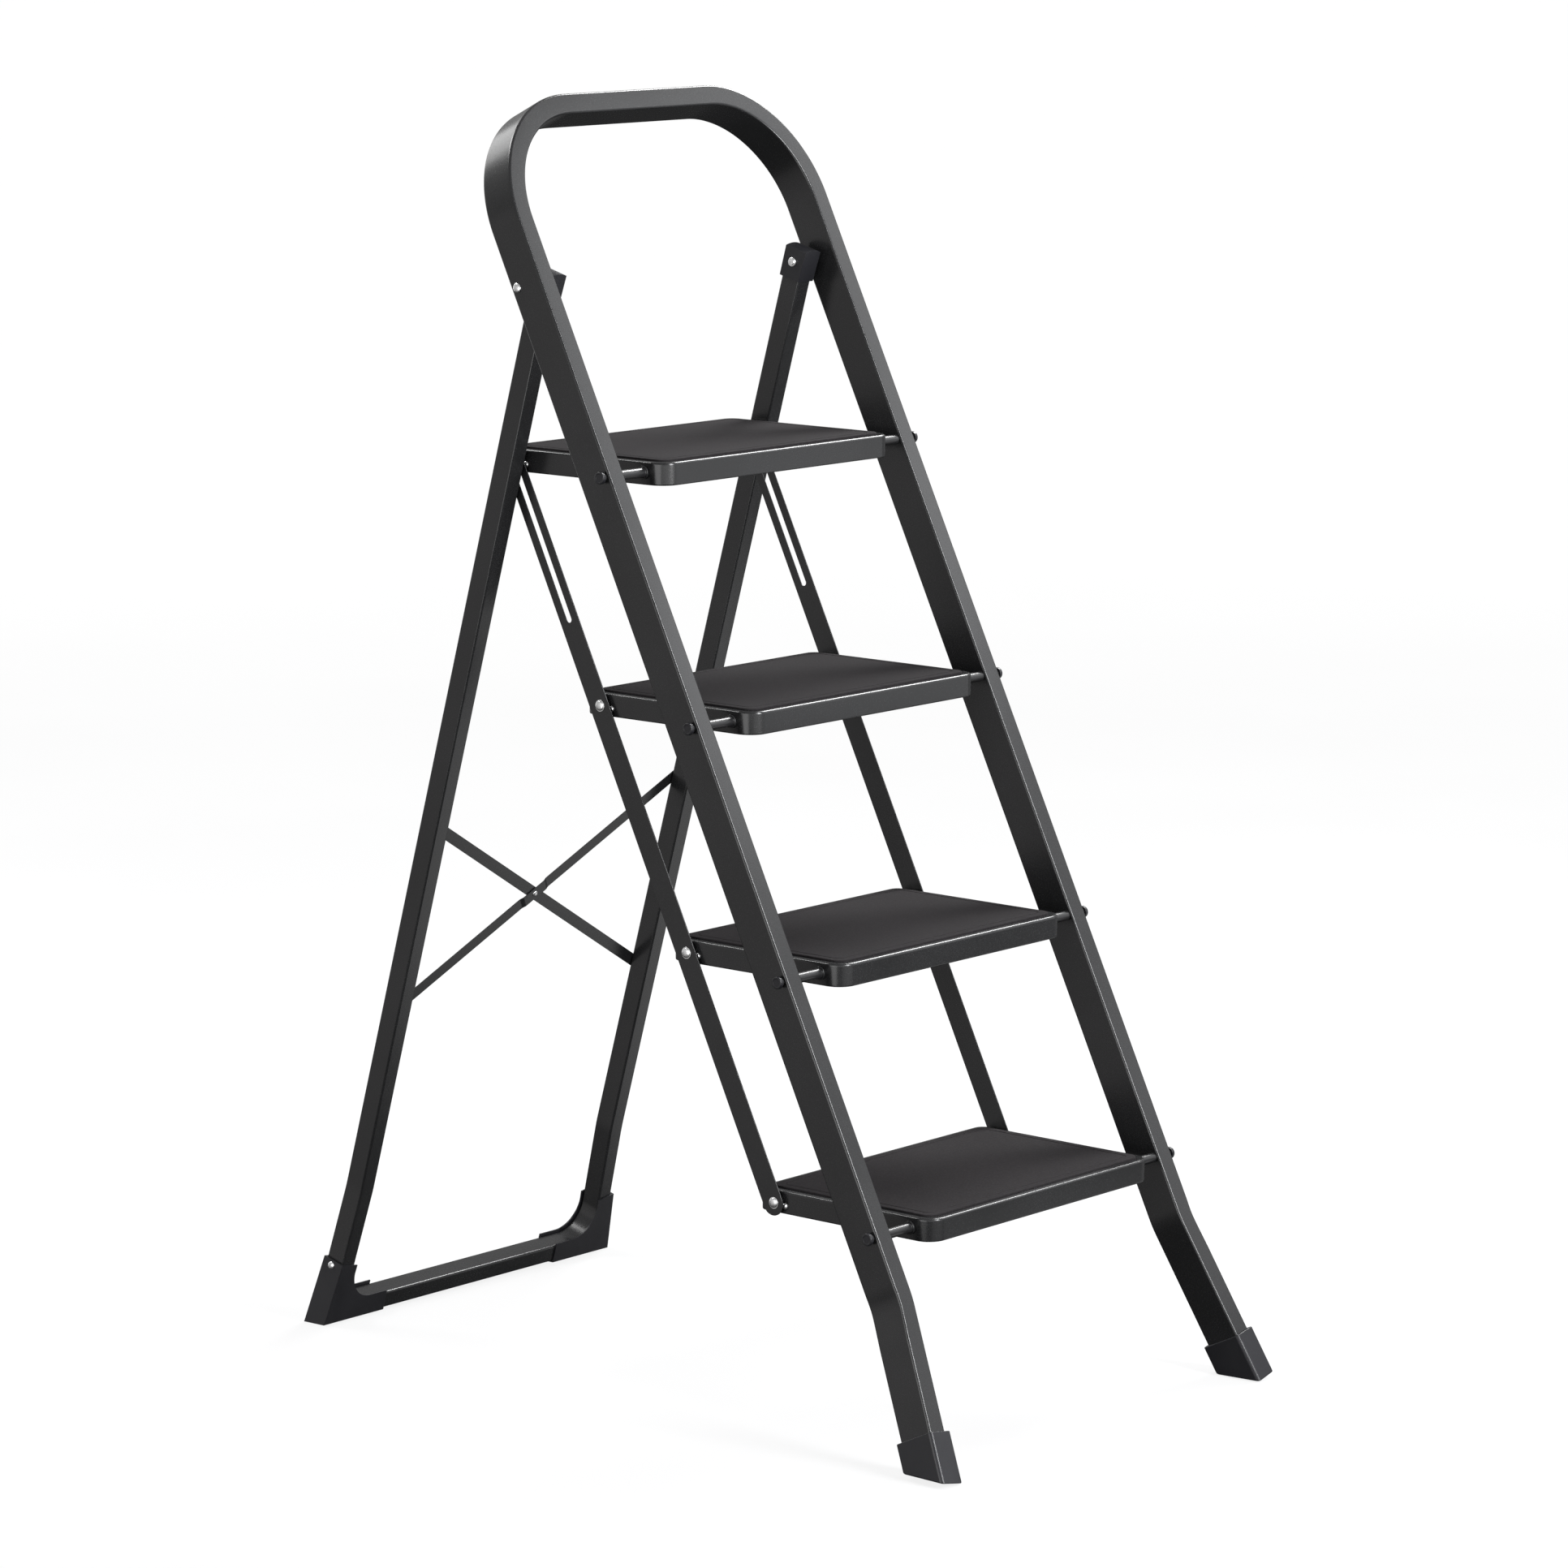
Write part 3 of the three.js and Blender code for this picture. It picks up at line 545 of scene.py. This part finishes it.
def front_frame_tube():
    half_d, half_w = RAIL_DEPTH / 2, RAIL_WIDTH / 2
    section = ribbed(rounded_rect(-half_d, half_d, -half_w, half_w, RAIL_CORNER), half_w)
    d, w = half_d - RAIL_WALL, half_w - RAIL_WALL
    bore = ribbed(rounded_rect(-d, d, -w, w, RAIL_CORNER - RAIL_WALL), w)
    stations = splay_stations()
    outer, inner = swept_tube(stations, section, bore, RAIL_SET_BACK)
    outer = [dented(ring, section, point) for ring, (point, _) in zip(outer, stations)]
    for rings, first, last in ((outer, 0, -1), (inner, -1, 0)):
        for i, end, side in ((first, 0, -1), (last, -1, 1)):
            rings[i] = slid_to(rings[i], stations[end][1], *sole_plane(BOOT_SOLE, side))
    return loft(outer + inner, joined=True)


def boot():
    """Rubber boot with a pocket for the tube, rounded rims and a flat sole."""
    top_point = Vector((rail_centre + (SPLAY_START - BOOT_TOP) * splay_slope, BOOT_TOP))
    way = Vector((splay_slope, -1)).normalized()

    def ring(half_d, half_w, corner, along=0, lift=None):
        section = rounded_rect(-half_d, half_d, -half_w, half_w, corner)
        made = swept_ring(top_point + way * along, way, section, RAIL_SET_BACK)
        return made if lift is None else slid_to(made, way, *sole_plane(lift))

    outer_d, outer_w = RAIL_DEPTH / 2 + BOOT_WALL, RAIL_WIDTH / 2 + BOOT_WALL
    pocket = (RAIL_DEPTH / 2 + GAP, RAIL_WIDTH / 2 + GAP, RAIL_CORNER)
    rim, tread = 0.9, 1.6                 # edge radii at the top and round the sole
    corner, mouth = 4, 0.4                # upright corners' radius, and the pocket's chamfer
    rings = []
    for a in (90, 60, 30, 0):
        inset, lift = tread * (1 - cos(radians(a))), tread * (1 - sin(radians(a)))
        rings.append(ring(outer_d - inset, outer_w - inset, corner - inset, lift=lift))
    for a in (0, 30, 60, 90):
        inset, along = rim * (1 - cos(radians(a))), rim * (1 - sin(radians(a)))
        rings.append(ring(outer_d - inset, outer_w - inset, corner - inset, along=along))
    rings.append(ring(*[size + mouth for size in pocket]))
    rings.append(ring(*pocket, along=mouth))
    rings.append(ring(*pocket, lift=BOOT_SOLE - GAP))
    return loft(rings)


add_node("front_frame_tube", front_frame_tube(), rail, "front_frame", "frame_paint")
add_pair("boot", boot(), rail, "front_frame", "foot_plastic")


# ---- steps ----------------------------------------------------------------------------------
def step_plan(inset, front_corner, rear_corner):
    """The pan's outline seen from above, drawn in by the inset."""
    least = 0.4                           # no corner gets sharper than this radius
    corners = [max(front_corner, least)] * 2 + [max(rear_corner, least)] * 2
    return rounded_rect(
        -PAN_HALF + inset, PAN_HALF - inset, PAN_FRONT + inset, PAN_REAR - inset, corners, 10)


def step_pan():
    """Pressed pan: rounded top edge, thin walls and a narrow hem folded in at the bottom."""
    inner_top, hem_top = PAN_TOP - PAN_WALL, PAN_BOTTOM + PAN_WALL
    under_mat, hem_bend = MAT_INSET + 4, 1.6
    profile = softened([
        (under_mat, inner_top), (PAN_WALL, inner_top), (PAN_WALL, hem_top), (PAN_HEM, hem_top),
        (PAN_HEM, PAN_BOTTOM), (0, PAN_BOTTOM), (0, PAN_TOP), (under_mat, PAN_TOP),
    ], [PAN_EDGE - PAN_WALL, 0.3, 0.5, 0.5, hem_bend, PAN_EDGE], 6)
    return loft([
        [(x, y, z) for x, y in step_plan(inset, PAN_FRONT_CORNER - inset, PAN_REAR_CORNER - inset)]
        for inset, z in profile
    ])


def tread_mat():
    """Rubber mat with a rounded edge and a narrow groove that sets off its border."""
    seat, top = PAN_TOP + HAIR, PAN_TOP + GAP + MAT_THICK
    line = MAT_INSET + MAT_BORDER
    floor = top - GROOVE_DEPTH
    slant, edge, groove_edge = 0.3, 1.0, 0.2
    middle = line + 6                     # where the flat middle of the mat begins
    profile = softened([
        (MAT_INSET, seat), (MAT_INSET, top), (line, top), (line + slant, floor),
        (line + GROOVE_WIDTH, floor), (line + GROOVE_WIDTH + slant, top), (middle, top),
    ], [edge] + [groove_edge] * 4)
    rings = []
    for inset, z in profile:
        corner = MAT_CORNER - (inset - MAT_INSET) * 0.5
        rings.append([(x, y, z) for x, y in step_plan(inset, corner, corner)])
    return loft(rings)


def axle():
    """Rod through both rails and the pan, with chamfered ends."""
    chamfer = 0.6
    ends, tip = AXLE_END - chamfer, AXLE_RADIUS - chamfer
    return turned([
        (0, -AXLE_END), (tip, -AXLE_END), (AXLE_RADIUS, -ends),
        (AXLE_RADIUS, ends), (tip, AXLE_END), (0, AXLE_END),
    ])


def bush():
    """Sleeve between pan and rail, with a flange against the pan."""
    start, end = PAN_HALF + GAP, RAIL_OUT - RAIL_WIDTH - GAP
    bore = AXLE_RADIUS + HAIR
    outline = softened([
        (bore, start), (BUSH_FLANGE, start), (BUSH_FLANGE, start + BUSH_FLANGE_THICK),
        (BUSH_RADIUS, start + BUSH_FLANGE_THICK), (BUSH_RADIUS, end), (bore, end),
    ], [0.5, 0.5, 0.4, 0.5])
    return turned([*outline, outline[0]])


def axle_cap():
    """Push-on cap over the axle's end, with a shallow dish in its face."""
    bore, seat = AXLE_RADIUS + FIT, AXLE_END + FIT
    dish = CAP_OUTER - 0.3
    return turned(softened([
        (0, seat), (bore, seat), (bore, CAP_INNER), (CAP_RADIUS, CAP_INNER),
        (CAP_RADIUS, CAP_OUTER), (CAP_RADIUS - 1.8, CAP_OUTER), (CAP_RADIUS - 2.2, dish),
        (0, dish),
    ], [0.05, 0.3, 0.4, 1.0, 0.2, 0.2]))


def side_rivet():
    """Small domed rivet in the pan's side."""
    inside = PAN_HALF - 1
    return turned([(0, inside), (SIDE_RIVET_SHANK, inside), (SIDE_RIVET_SHANK, PAN_HALF),
                   *dome(SIDE_RIVET_RADIUS, PAN_HALF, SIDE_RIVET_RISE)], 24)


for k, level in zip(STEPS, levels):
    add_node(f"pan_{k}", step_pan(), level, f"step_{k}", "frame_paint")
    add_node(f"tread_{k}", tread_mat(), level, f"step_{k}", "tread_mat")
    add_node(f"axle_{k}", axle(), level, "front_frame", "dark_paint")
    add_pair(f"bush_{k}", bush(), level, "front_frame", "dark_paint")
    add_pair(f"axle_cap_{k}", axle_cap(), level, "front_frame", "foot_plastic")
    for side, sign in (("right", 1), ("left", -1)):
        at = level @ Matrix.Diagonal((sign, 1, 1, 1)) @ Matrix.Translation(
            (0, SIDE_RIVET_Y, SIDE_RIVET_Z))
        add_piece(f"side_rivet_{k}_{side}", side_rivet(), at, f"step_{k}", "bright_steel")


# ---- rear frame -----------------------------------------------------------------------------
corner_x = leg_centre + (CROSSBAR_AT - LEG_BEND_AT) * tan(radians(LEG_BEND_ANGLE))
leg_corners = [
    (-leg_centre, LEG_TOP),
    (-leg_centre, -LEG_BEND_AT, LEG_BEND_RADIUS),
    (-corner_x, -CROSSBAR_AT, CROSSBAR_RADIUS),
    (corner_x, -CROSSBAR_AT, CROSSBAR_RADIUS),
    (leg_centre, -LEG_BEND_AT, LEG_BEND_RADIUS),
    (leg_centre, LEG_TOP),
]
brace_middle = -(BRACE_UPPER + BRACE_LOWER) / 2
brace_rise = (BRACE_LOWER - BRACE_UPPER) / 2
brace_half = hypot(leg_centre, brace_rise)
brace_turn = atan2(leg_centre, brace_rise)
brace_face = -LEG_DEPTH / 2 - GAP


def rear_frame_tube():
    half_d, half_w = LEG_DEPTH / 2, LEG_WIDTH / 2
    section = rounded_rect(-half_d, half_d, -half_w, half_w, LEG_CORNER)
    d, w = half_d - LEG_WALL, half_w - LEG_WALL
    bore = rounded_rect(-d, d, -w, w, LEG_CORNER - LEG_WALL)
    outer, inner = swept_tube(bent_path(leg_corners), section, bore)
    return loft(outer + inner, joined=True)


def corner_foot():
    """Moulded foot: a channel open to the inside of the bend, with a level sole."""
    lip_radius, lip_end, lip_gap = 32.0, 191.5, 2
    lip_x = corner_x - LEG_WIDTH / 2 - FOOT_LIP - lip_gap - lip_radius
    lip_y = -CROSSBAR_AT + LEG_WIDTH / 2 + FOOT_LIP + lip_radius
    slope = tan(radians(FOOT_FLARE))
    outline = [
        (FOOT_REACH, -FOOT_DEEP), (FOOT_REACH, lip_y - lip_radius),
        *arc(lip_x, lip_y, lip_radius, -90, 0, 16), (lip_end, -FOOT_TOP - FOOT_LIP_DROP),
        (FOOT_OUT, -FOOT_TOP), (FOOT_OUT + (FOOT_DEEP - FOOT_TOP) * slope, -FOOT_DEEP),
    ]
    half = LEG_DEPTH / 2 + FOOT_WALL
    foot = bevelled(prism(outline, -half, half), 0.9)
    d, w = LEG_DEPTH / 2 + GAP, LEG_WIDTH / 2 + GAP
    open_by, channel_from = 8, 80         # the channel runs out of the inner side and inner end
    opening = rounded_rect(-d, d, -w, w + open_by, 1.5)
    path = bent_path(leg_corners)
    start = (Vector((channel_from, -CROSSBAR_AT)), Vector((1, 0)))
    stations = [start, *path[len(path) // 2:]]
    channel = loft([swept_ring(p, way, opening) for p, way in stations])
    foot = combined(foot, channel)
    below_ground = block(0.1, 0.26, -0.2, 0.7, -0.09, 0)      # metres, in the frame's own axes
    below_ground.transform(leg.inverted())
    return combined(foot, below_ground)


def on_foot_face(bm):
    """Moves a piece made along X, zero on the foot's outer face, to where the foot screw sits."""
    slope = radians(FOOT_FLARE)
    out = FOOT_OUT + (FOOT_SCREW_DOWN - FOOT_TOP) * tan(slope)
    bm.transform(Matrix.Translation((out, -FOOT_SCREW_DOWN, -FOOT_SCREW_BACK))
                 @ Matrix.Rotation(slope, 4, "Z"))
    return bm


def foot_screw():
    """Domed head with a cross recess."""
    screw = turned([(0, -FOOT_SCREW_DEEP), (FOOT_SCREW_SHANK, -FOOT_SCREW_DEEP),
                    (FOOT_SCREW_SHANK, FIT), *dome(FOOT_SCREW_HEAD, FIT, FOOT_SCREW_RISE, 8)], 36)
    long, narrow, bottom = 2.1, 0.45, 1.3
    for y, z in ((long, narrow), (narrow, long)):
        screw = combined(screw, block(bottom, 4, -y, y, -z, z))
    return on_foot_face(screw)


def leg_cap():
    """Crowned cap over the leg's top end, with a boss that spaces the leg from the rail."""
    inner = LEG_OUT - LEG_WIDTH - LEG_CAP_WALL
    middle, half_width = (inner + LEG_CAP_OUTER) / 2, (LEG_CAP_OUTER - inner) / 2
    crown, crown_steps = [], 6
    for i in range(2 * crown_steps + 1):
        s = 1 - i / crown_steps
        crown.append((middle + s * half_width, LEG_CAP_TOP + LEG_CAP_CROWN * (1 - s * s)))
    outline = [(inner, LEG_CAP_BOTTOM), (LEG_CAP_OUTER, LEG_CAP_BOTTOM), *crown]
    half = LEG_DEPTH / 2 + LEG_CAP_WALL
    lean = LEG_CAP_FLARE / (LEG_CAP_TOP - LEG_CAP_BOTTOM)
    front = [(x, y, half + lean * (y - LEG_CAP_BOTTOM) - LEG_CAP_FLARE / 2) for x, y in outline]
    cap = bevelled(loft([[(x, y, -half) for x, y in outline], front]), 1.1)
    root, face, chamfer = LEG_CAP_OUTER - 4, RAIL_OUT - RAIL_WIDTH - GAP, 0.6
    boss = turned([(0, root), (LEG_CAP_BOSS, root), (LEG_CAP_BOSS, face - chamfer),
                   (LEG_CAP_BOSS - chamfer, face), (0, face)])
    cap = combined(cap, boss, "UNION")
    deep = LEG_DEPTH / 2 + GAP
    return combined(cap, block(
        inner + LEG_CAP_WALL - GAP, LEG_OUT + GAP, LEG_CAP_BOTTOM - 4, LEG_TOP + GAP, -deep, deep))


def hinge_bolt():
    """Slotted, stepped head on the leg cap's inner face, and a domed nut outside the rail."""
    seat = LEG_OUT - LEG_WIDTH - LEG_CAP_WALL - FIT
    face = RAIL_OUT + FIT
    top = seat - BOLT_HEAD_HIGH
    disc, brim, brim_end = 3.1, top + 0.8, top + 1.2
    head_and_shank = softened([
        (0, top), (disc, top), (disc + 0.3, brim), (disc + 0.7, brim), (BOLT_HEAD - 0.6, top + 0.7),
        (BOLT_HEAD, brim_end), (BOLT_HEAD, seat), (BOLT_SHANK, seat), (BOLT_SHANK, face),
    ], [0.5, 0.2, 0.2, 0.4, 0.4, 0.2, 0.1])
    bolt = turned([*head_and_shank, *dome(NUT_RADIUS, face, NUT_HIGH, 8)], 40)
    slot_deep, slot_reach, slot_half, slot_turn = 1.5, 3.3, 0.8, 0.45
    slot = block(top - 1, top + slot_deep, -slot_reach, slot_reach, -slot_half, slot_half)
    slot.transform(Matrix.Rotation(slot_turn, 4, "X"))
    return combined(bolt, slot)


def plate(outline, thick, edge, hole=None):
    """Flat strip from z = -thick to 0 with slightly rounded edges; outline(inset) gives pairs.

    The hole is a second outline of the same kind.
    """
    cut = edge * 0.3
    sides = [(edge, -thick), (cut, -thick + cut), (0, -thick + edge),
             (0, -edge), (cut, -cut), (edge, 0)]
    bm = bmesh.new()
    for shape, sign in ((outline, 1), (hole, -1)):
        if shape is None:
            continue
        part = loft([[(x, y, z) for x, y in shape(sign * inset)] for inset, z in sides], caps=False)
        mesh = bpy.data.meshes.new("part")
        part.to_mesh(mesh)
        part.free()
        bm.from_mesh(mesh)
        bpy.data.meshes.remove(mesh)
    for z in (-thick, 0):
        rim = [
            e for e in bm.edges if e.is_boundary and all(abs(v.co.z - z) < 1e-6 for v in e.verts)
        ]
        bmesh.ops.triangle_fill(bm, edges=rim, use_beauty=True)
    return bm


def brace_strip(cranked):
    """One bar of the X-brace; the cranked one steps over the other where they cross."""
    half_width = BRACE_WIDTH / 2
    strip = plate(
        lambda inset: stadium(-brace_half, brace_half, half_width - inset), BRACE_THICK, 0.25)
    if not cranked:
        return strip
    cuts = 5
    for i in range(cuts + 1):
        for sign in (-1, 1):
            y = sign * (CRANK_HALF + CRANK_RAMP * i / cuts)
            bmesh.ops.bisect_plane(
                strip, geom=[*strip.verts, *strip.edges, *strip.faces], plane_co=(0, y, 0),
                plane_no=(0, 1, 0), dist=1e-5)
    for v in strip.verts:
        s = min(max((abs(v.co.y) - CRANK_HALF) / CRANK_RAMP, 0), 1)
        v.co.z += JOGGLE * (1 - s * s * (3 - 2 * s))
    return strip


def rearward(profile):
    """A rivet turned from its profile, pointing to the rear of the legs."""
    rivet = turned(profile, 28)
    rivet.transform(Matrix.Rotation(pi / 2, 4, "Y"))
    return rivet


def cross_rivet():
    """Rivet through both bars, with a domed head on each side."""
    front = [(r, -x) for r, x in dome(CROSS_RIVET_HEAD, JOGGLE, CROSS_RIVET_RISE)][::-1]
    rear = dome(CROSS_RIVET_HEAD, BRACE_THICK, CROSS_RIVET_RISE)
    return rearward([*front, (RIVET_SHANK, -JOGGLE), (RIVET_SHANK, BRACE_THICK), *rear])


def end_rivet():
    """Rivet that holds a bar's end to a leg."""
    deep = 3
    return rearward([(0, -deep), (RIVET_SHANK, -deep), (RIVET_SHANK, BRACE_THICK),
                     *dome(RIVET_HEAD, BRACE_THICK, RIVET_RISE)])


add_node("rear_frame_tube", rear_frame_tube(), leg, "rear_frame", "frame_paint")
add_pair("corner_foot", corner_foot(), leg, "rear_frame", "foot_plastic")
add_pair("foot_screw", foot_screw(), leg, "rear_frame", "bright_steel")
add_pair("leg_cap", leg_cap(), leg, "rear_frame", "foot_plastic")
add_pair("hinge_bolt", hinge_bolt(), rail @ Matrix.Translation((0, *hinge_in_rail.yz)),
         "front_frame", "bright_steel")

middle = Matrix.Translation((0, brace_middle, brace_face))
add_node("brace_straight", brace_strip(False), leg @ middle @ Matrix.Rotation(brace_turn, 4, "Z"),
         "rear_frame", "dark_paint")
add_node("brace_cranked", brace_strip(True), leg @ middle @ Matrix.Rotation(-brace_turn, 4, "Z"),
         "rear_frame", "dark_paint")
add_node("brace_rivet", cross_rivet(), leg @ middle, "rear_frame", "bright_steel")
for number, (x, y) in enumerate(((-1, -1), (-1, 1), (1, -1), (1, 1)), 1):
    at = Matrix.Translation((x * leg_centre, brace_middle + y * brace_rise, brace_face))
    add_node(f"brace_end_rivet_{number}", end_rivet(), leg @ at, "rear_frame", "bright_steel")


# ---- link bars ------------------------------------------------------------------------------
def link_bar():
    """Flat bar with half-round ends and a long slot below its top pivot."""
    top, half_width = pitch * (len(STEPS) - 1), LINK_WIDTH / 2
    bar = plate(
        lambda inset: stadium(0, top, half_width - inset), LINK_OUTER - LINK_INNER, 0.3,
        lambda inset: stadium(top + SLOT_BOTTOM, top + SLOT_TOP, SLOT_WIDTH / 2 - inset),
    )
    bar.transform(
        Matrix.Translation((LINK_OUTER, 0, -LINK_SET_BACK)) @ Matrix.Rotation(pi / 2, 4, "Y"))
    return bar


def link_rivet():
    """Domed head on a thin washer outside the bar, collar behind it, tail inside the pan."""
    pan_inner = PAN_HALF - PAN_WALL
    face = LINK_OUTER + HAIR
    tail, collar, washer = 4.2, 5, face + 0.5
    return turned([
        (0, pan_inner - 2), (tail - 0.8, pan_inner - 2), (tail, pan_inner - 1.4),
        (tail, pan_inner - FIT), (LINK_SHANK, pan_inner - FIT), (LINK_SHANK, PAN_HALF + FIT),
        (collar, PAN_HALF + FIT), (collar, LINK_INNER - FIT), (LINK_SHANK, LINK_INNER - FIT),
        (LINK_SHANK, face), (LINK_HEAD, face), (LINK_HEAD, face + 0.35), (LINK_HEAD - 0.15, washer),
        *dome(LINK_HEAD - 0.9, washer, LINK_RISE - 0.3, 7),
    ], 40)


def slot_stud():
    """Headless stud on the leg; it ends just short of the bar, over the slot's top end."""
    face, tip = LEG_OUT - LEG_WIDTH, LINK_OUTER + 0.4
    chamfer, root, root_end = 0.4, STUD_RADIUS - 0.5, face + 2
    return turned([
        (0, tip), (STUD_RADIUS - chamfer, tip), (STUD_RADIUS, tip + chamfer),
        (STUD_RADIUS, face - FIT), (root, face - FIT), (root, root_end), (0, root_end),
    ])


add_pair("link", link_bar(), link, "link_{side}", "dark_paint")
for k in STEPS:
    at = link @ Matrix.Translation((0, (k - 1) * pitch, 0))
    add_pair(f"link_rivet_{k}", link_rivet(), at, "link_{side}", "bright_steel")
stud_at = link @ Vector((0, pitch * (len(STEPS) - 1) - STUD_DROP, -LINK_SET_BACK))
stud_in_leg = leg.inverted() @ stud_at
add_pair("slot_stud", slot_stud(), leg @ Matrix.Translation((0, *stud_in_leg.yz)),
         "rear_frame", "bright_steel")


# ---- floor, light and camera ----------------------------------------------------------------
FLOOR_HALF, FLOOR_DROP = 70, 0.0004       # metres; the drop keeps it clear of the soles
GLOW_NEAR, GLOW_FAR = (1.5, 0.83), (7.0, 0.955)      # (metres from the ladder, floor's own light)


def pale_floor():
    """Almost white, and mostly self-lit, so that the ladder's shadows stay faint."""
    f = Finish("floor_look")
    tone = f.mixed(
        f.spread(f.grain(1.5, 3), 0.3, 0.7), (0.115, 0.115, 0.116), (0.125, 0.125, 0.126))
    distance = f.node("ShaderNodeVectorMath", operation="LENGTH")
    f.feed(distance.inputs[0], f.place)
    (near, dim), (far, bright) = GLOW_NEAR, GLOW_FAR
    glow = f.spread(distance.outputs["Value"], near, far, dim, bright)
    f.feed(f.shader.inputs["Emission Strength"], glow)
    return f.finish(tone, 0.9, Specular_IOR_Level=0.0, Emission_Color=(1, 1, 1, 1))


ground = bmesh.new()
bmesh.ops.create_grid(ground, x_segments=24, y_segments=24, size=FLOOR_HALF)
ground_mesh = bpy.data.meshes.new("floor")
ground.to_mesh(ground_mesh)
ground.free()
ground_mesh.materials.append(pale_floor())
floor = bpy.data.objects.new("floor", ground_mesh)
floor.location.z = -FLOOR_DROP
# the ladder isn't lit by the floor, doesn't mirror it, and gets the light from below through it
floor.visible_diffuse = floor.visible_glossy = floor.visible_shadow = False
bpy.context.scene.collection.objects.link(floor)


def softbox(name, at, towards, width, height, radiance, tint=(1, 1, 1)):
    """A rectangular light in metres; radiance is the brightness of its face."""
    light = bpy.data.lights.new(name, "AREA")
    light.shape, light.size, light.size_y = "RECTANGLE", width, height
    light.energy = radiance * pi * width * height
    light.color = tint
    lamp = bpy.data.objects.new(name, light)
    bpy.context.scene.collection.objects.link(lamp)
    lamp.location = at
    lamp.visible_camera = False
    lamp.rotation_mode = "QUATERNION"
    lamp.rotation_quaternion = (Vector(towards) - Vector(at)).to_track_quat("-Z", "Y")


# name, place, point aimed at, width, height, radiance, tint: keys, fronts and bounce shape the
# front faces, the edge lights draw the bright lines along the corners
cool, warm = (0.97, 0.98, 1.0), (1.0, 0.965, 0.97)
softbox("key_top", (1.9, -1.1, 2.1), (0, 0.1, 1.1), 1.3, 1.0, 1.85, cool)
softbox("key_high", (1.15, -1.2, 1.32), (0, -0.1, 0.9), 1.2, 0.7, 0.8, cool)
softbox("key_low", (1.15, -1.2, 0.64), (0, -0.2, 0.6), 1.2, 0.5, 0.85, cool)
softbox("bounce", (2.1, -1.1, -0.85), (0, 0, 0.4), 1.6, 0.9, 0.9)
softbox("front", (-0.9, -2.8, 0.62), (-0.2, 0, 0.6), 4.6, 0.6, 1.8)
softbox("low_front", (0.0, -3.0, -0.1), (0, 0, 0.4), 3.4, 0.8, 0.5)
softbox("edge_front", (0.1, -2.9, 1.95), (0, -0.1, 0.8), 0.8, 2.2, 26, cool)
softbox("edge_side", (2.4, 0.3, 2.9), (0, 0, 0.7), 1.1, 1.1, 26)
softbox("edge_back", (-0.5, 2.1, 3.0), (0, 0, 0.7), 0.9, 0.9, 16)
softbox("rim", (0.4, 3.2, 2.4), (0, 0, 0.9), 1.6, 1.2, 2.6)
softbox("back", (-0.3, 3.4, 0.8), (0, 0, 0.7), 1.8, 1.8, 1.0)
softbox("fill", (-3.0, 1.9, 0.2), (0, 0, 0.5), 2.8, 2.4, 0.32, warm)
softbox("left", (-3.0, -0.5, 0.6), (0, 0, 0.6), 2.4, 1.8, 2.8)

SKY_LOW, SKY_HIGH = (-0.45, 0.05), (0.25, 0.42)      # (height of a unit direction, brightness)
world = bpy.data.worlds.new("studio")
world.use_nodes = True
bpy.context.scene.world = world
sky = world.node_tree
height_above = sky.nodes.new("ShaderNodeSeparateXYZ")
direction = sky.nodes.new("ShaderNodeTexCoord").outputs["Generated"]
sky.links.new(direction, height_above.inputs["Vector"])
shade = sky.nodes.new("ShaderNodeMapRange")
for end, (height, brightness) in (("Min", SKY_LOW), ("Max", SKY_HIGH)):
    shade.inputs[f"From {end}"].default_value = height
    shade.inputs[f"To {end}"].default_value = brightness
sky.links.new(height_above.outputs["Z"], shade.inputs["Value"])
sky.links.new(shade.outputs["Result"], sky.nodes["Background"].inputs["Strength"])
sky.nodes["Background"].inputs["Color"].default_value = (1, 1, 1, 1)

CAMERA_AT = Vector((-4.6279, -3.9564, 1.6481))
CAMERA_YAW, CAMERA_PITCH, CAMERA_ROLL = radians(49.631), radians(-9.820), radians(0.160)
camera_data = bpy.data.cameras.new("camera")
camera_data.lens, camera_data.sensor_width = 137.397, 36.0
camera_data.shift_x, camera_data.shift_y = -0.0008, 0.00713
camera_data.clip_end = 200
camera = bpy.data.objects.new("camera", camera_data)
bpy.context.scene.collection.objects.link(camera)
ahead = Vector((
    sin(CAMERA_YAW) * cos(CAMERA_PITCH), cos(CAMERA_YAW) * cos(CAMERA_PITCH), sin(CAMERA_PITCH)))
level_right = ahead.cross(Vector((0, 0, 1))).normalized()
level_up = level_right.cross(ahead)
right = level_right * cos(CAMERA_ROLL) + level_up * sin(CAMERA_ROLL)
upward = level_up * cos(CAMERA_ROLL) - level_right * sin(CAMERA_ROLL)
turn = Matrix((right, upward, -ahead)).transposed().to_4x4()
camera.matrix_world = Matrix.Translation(CAMERA_AT) @ turn
bpy.context.scene.camera = camera
bpy.context.scene.view_settings.view_transform = "Standard"
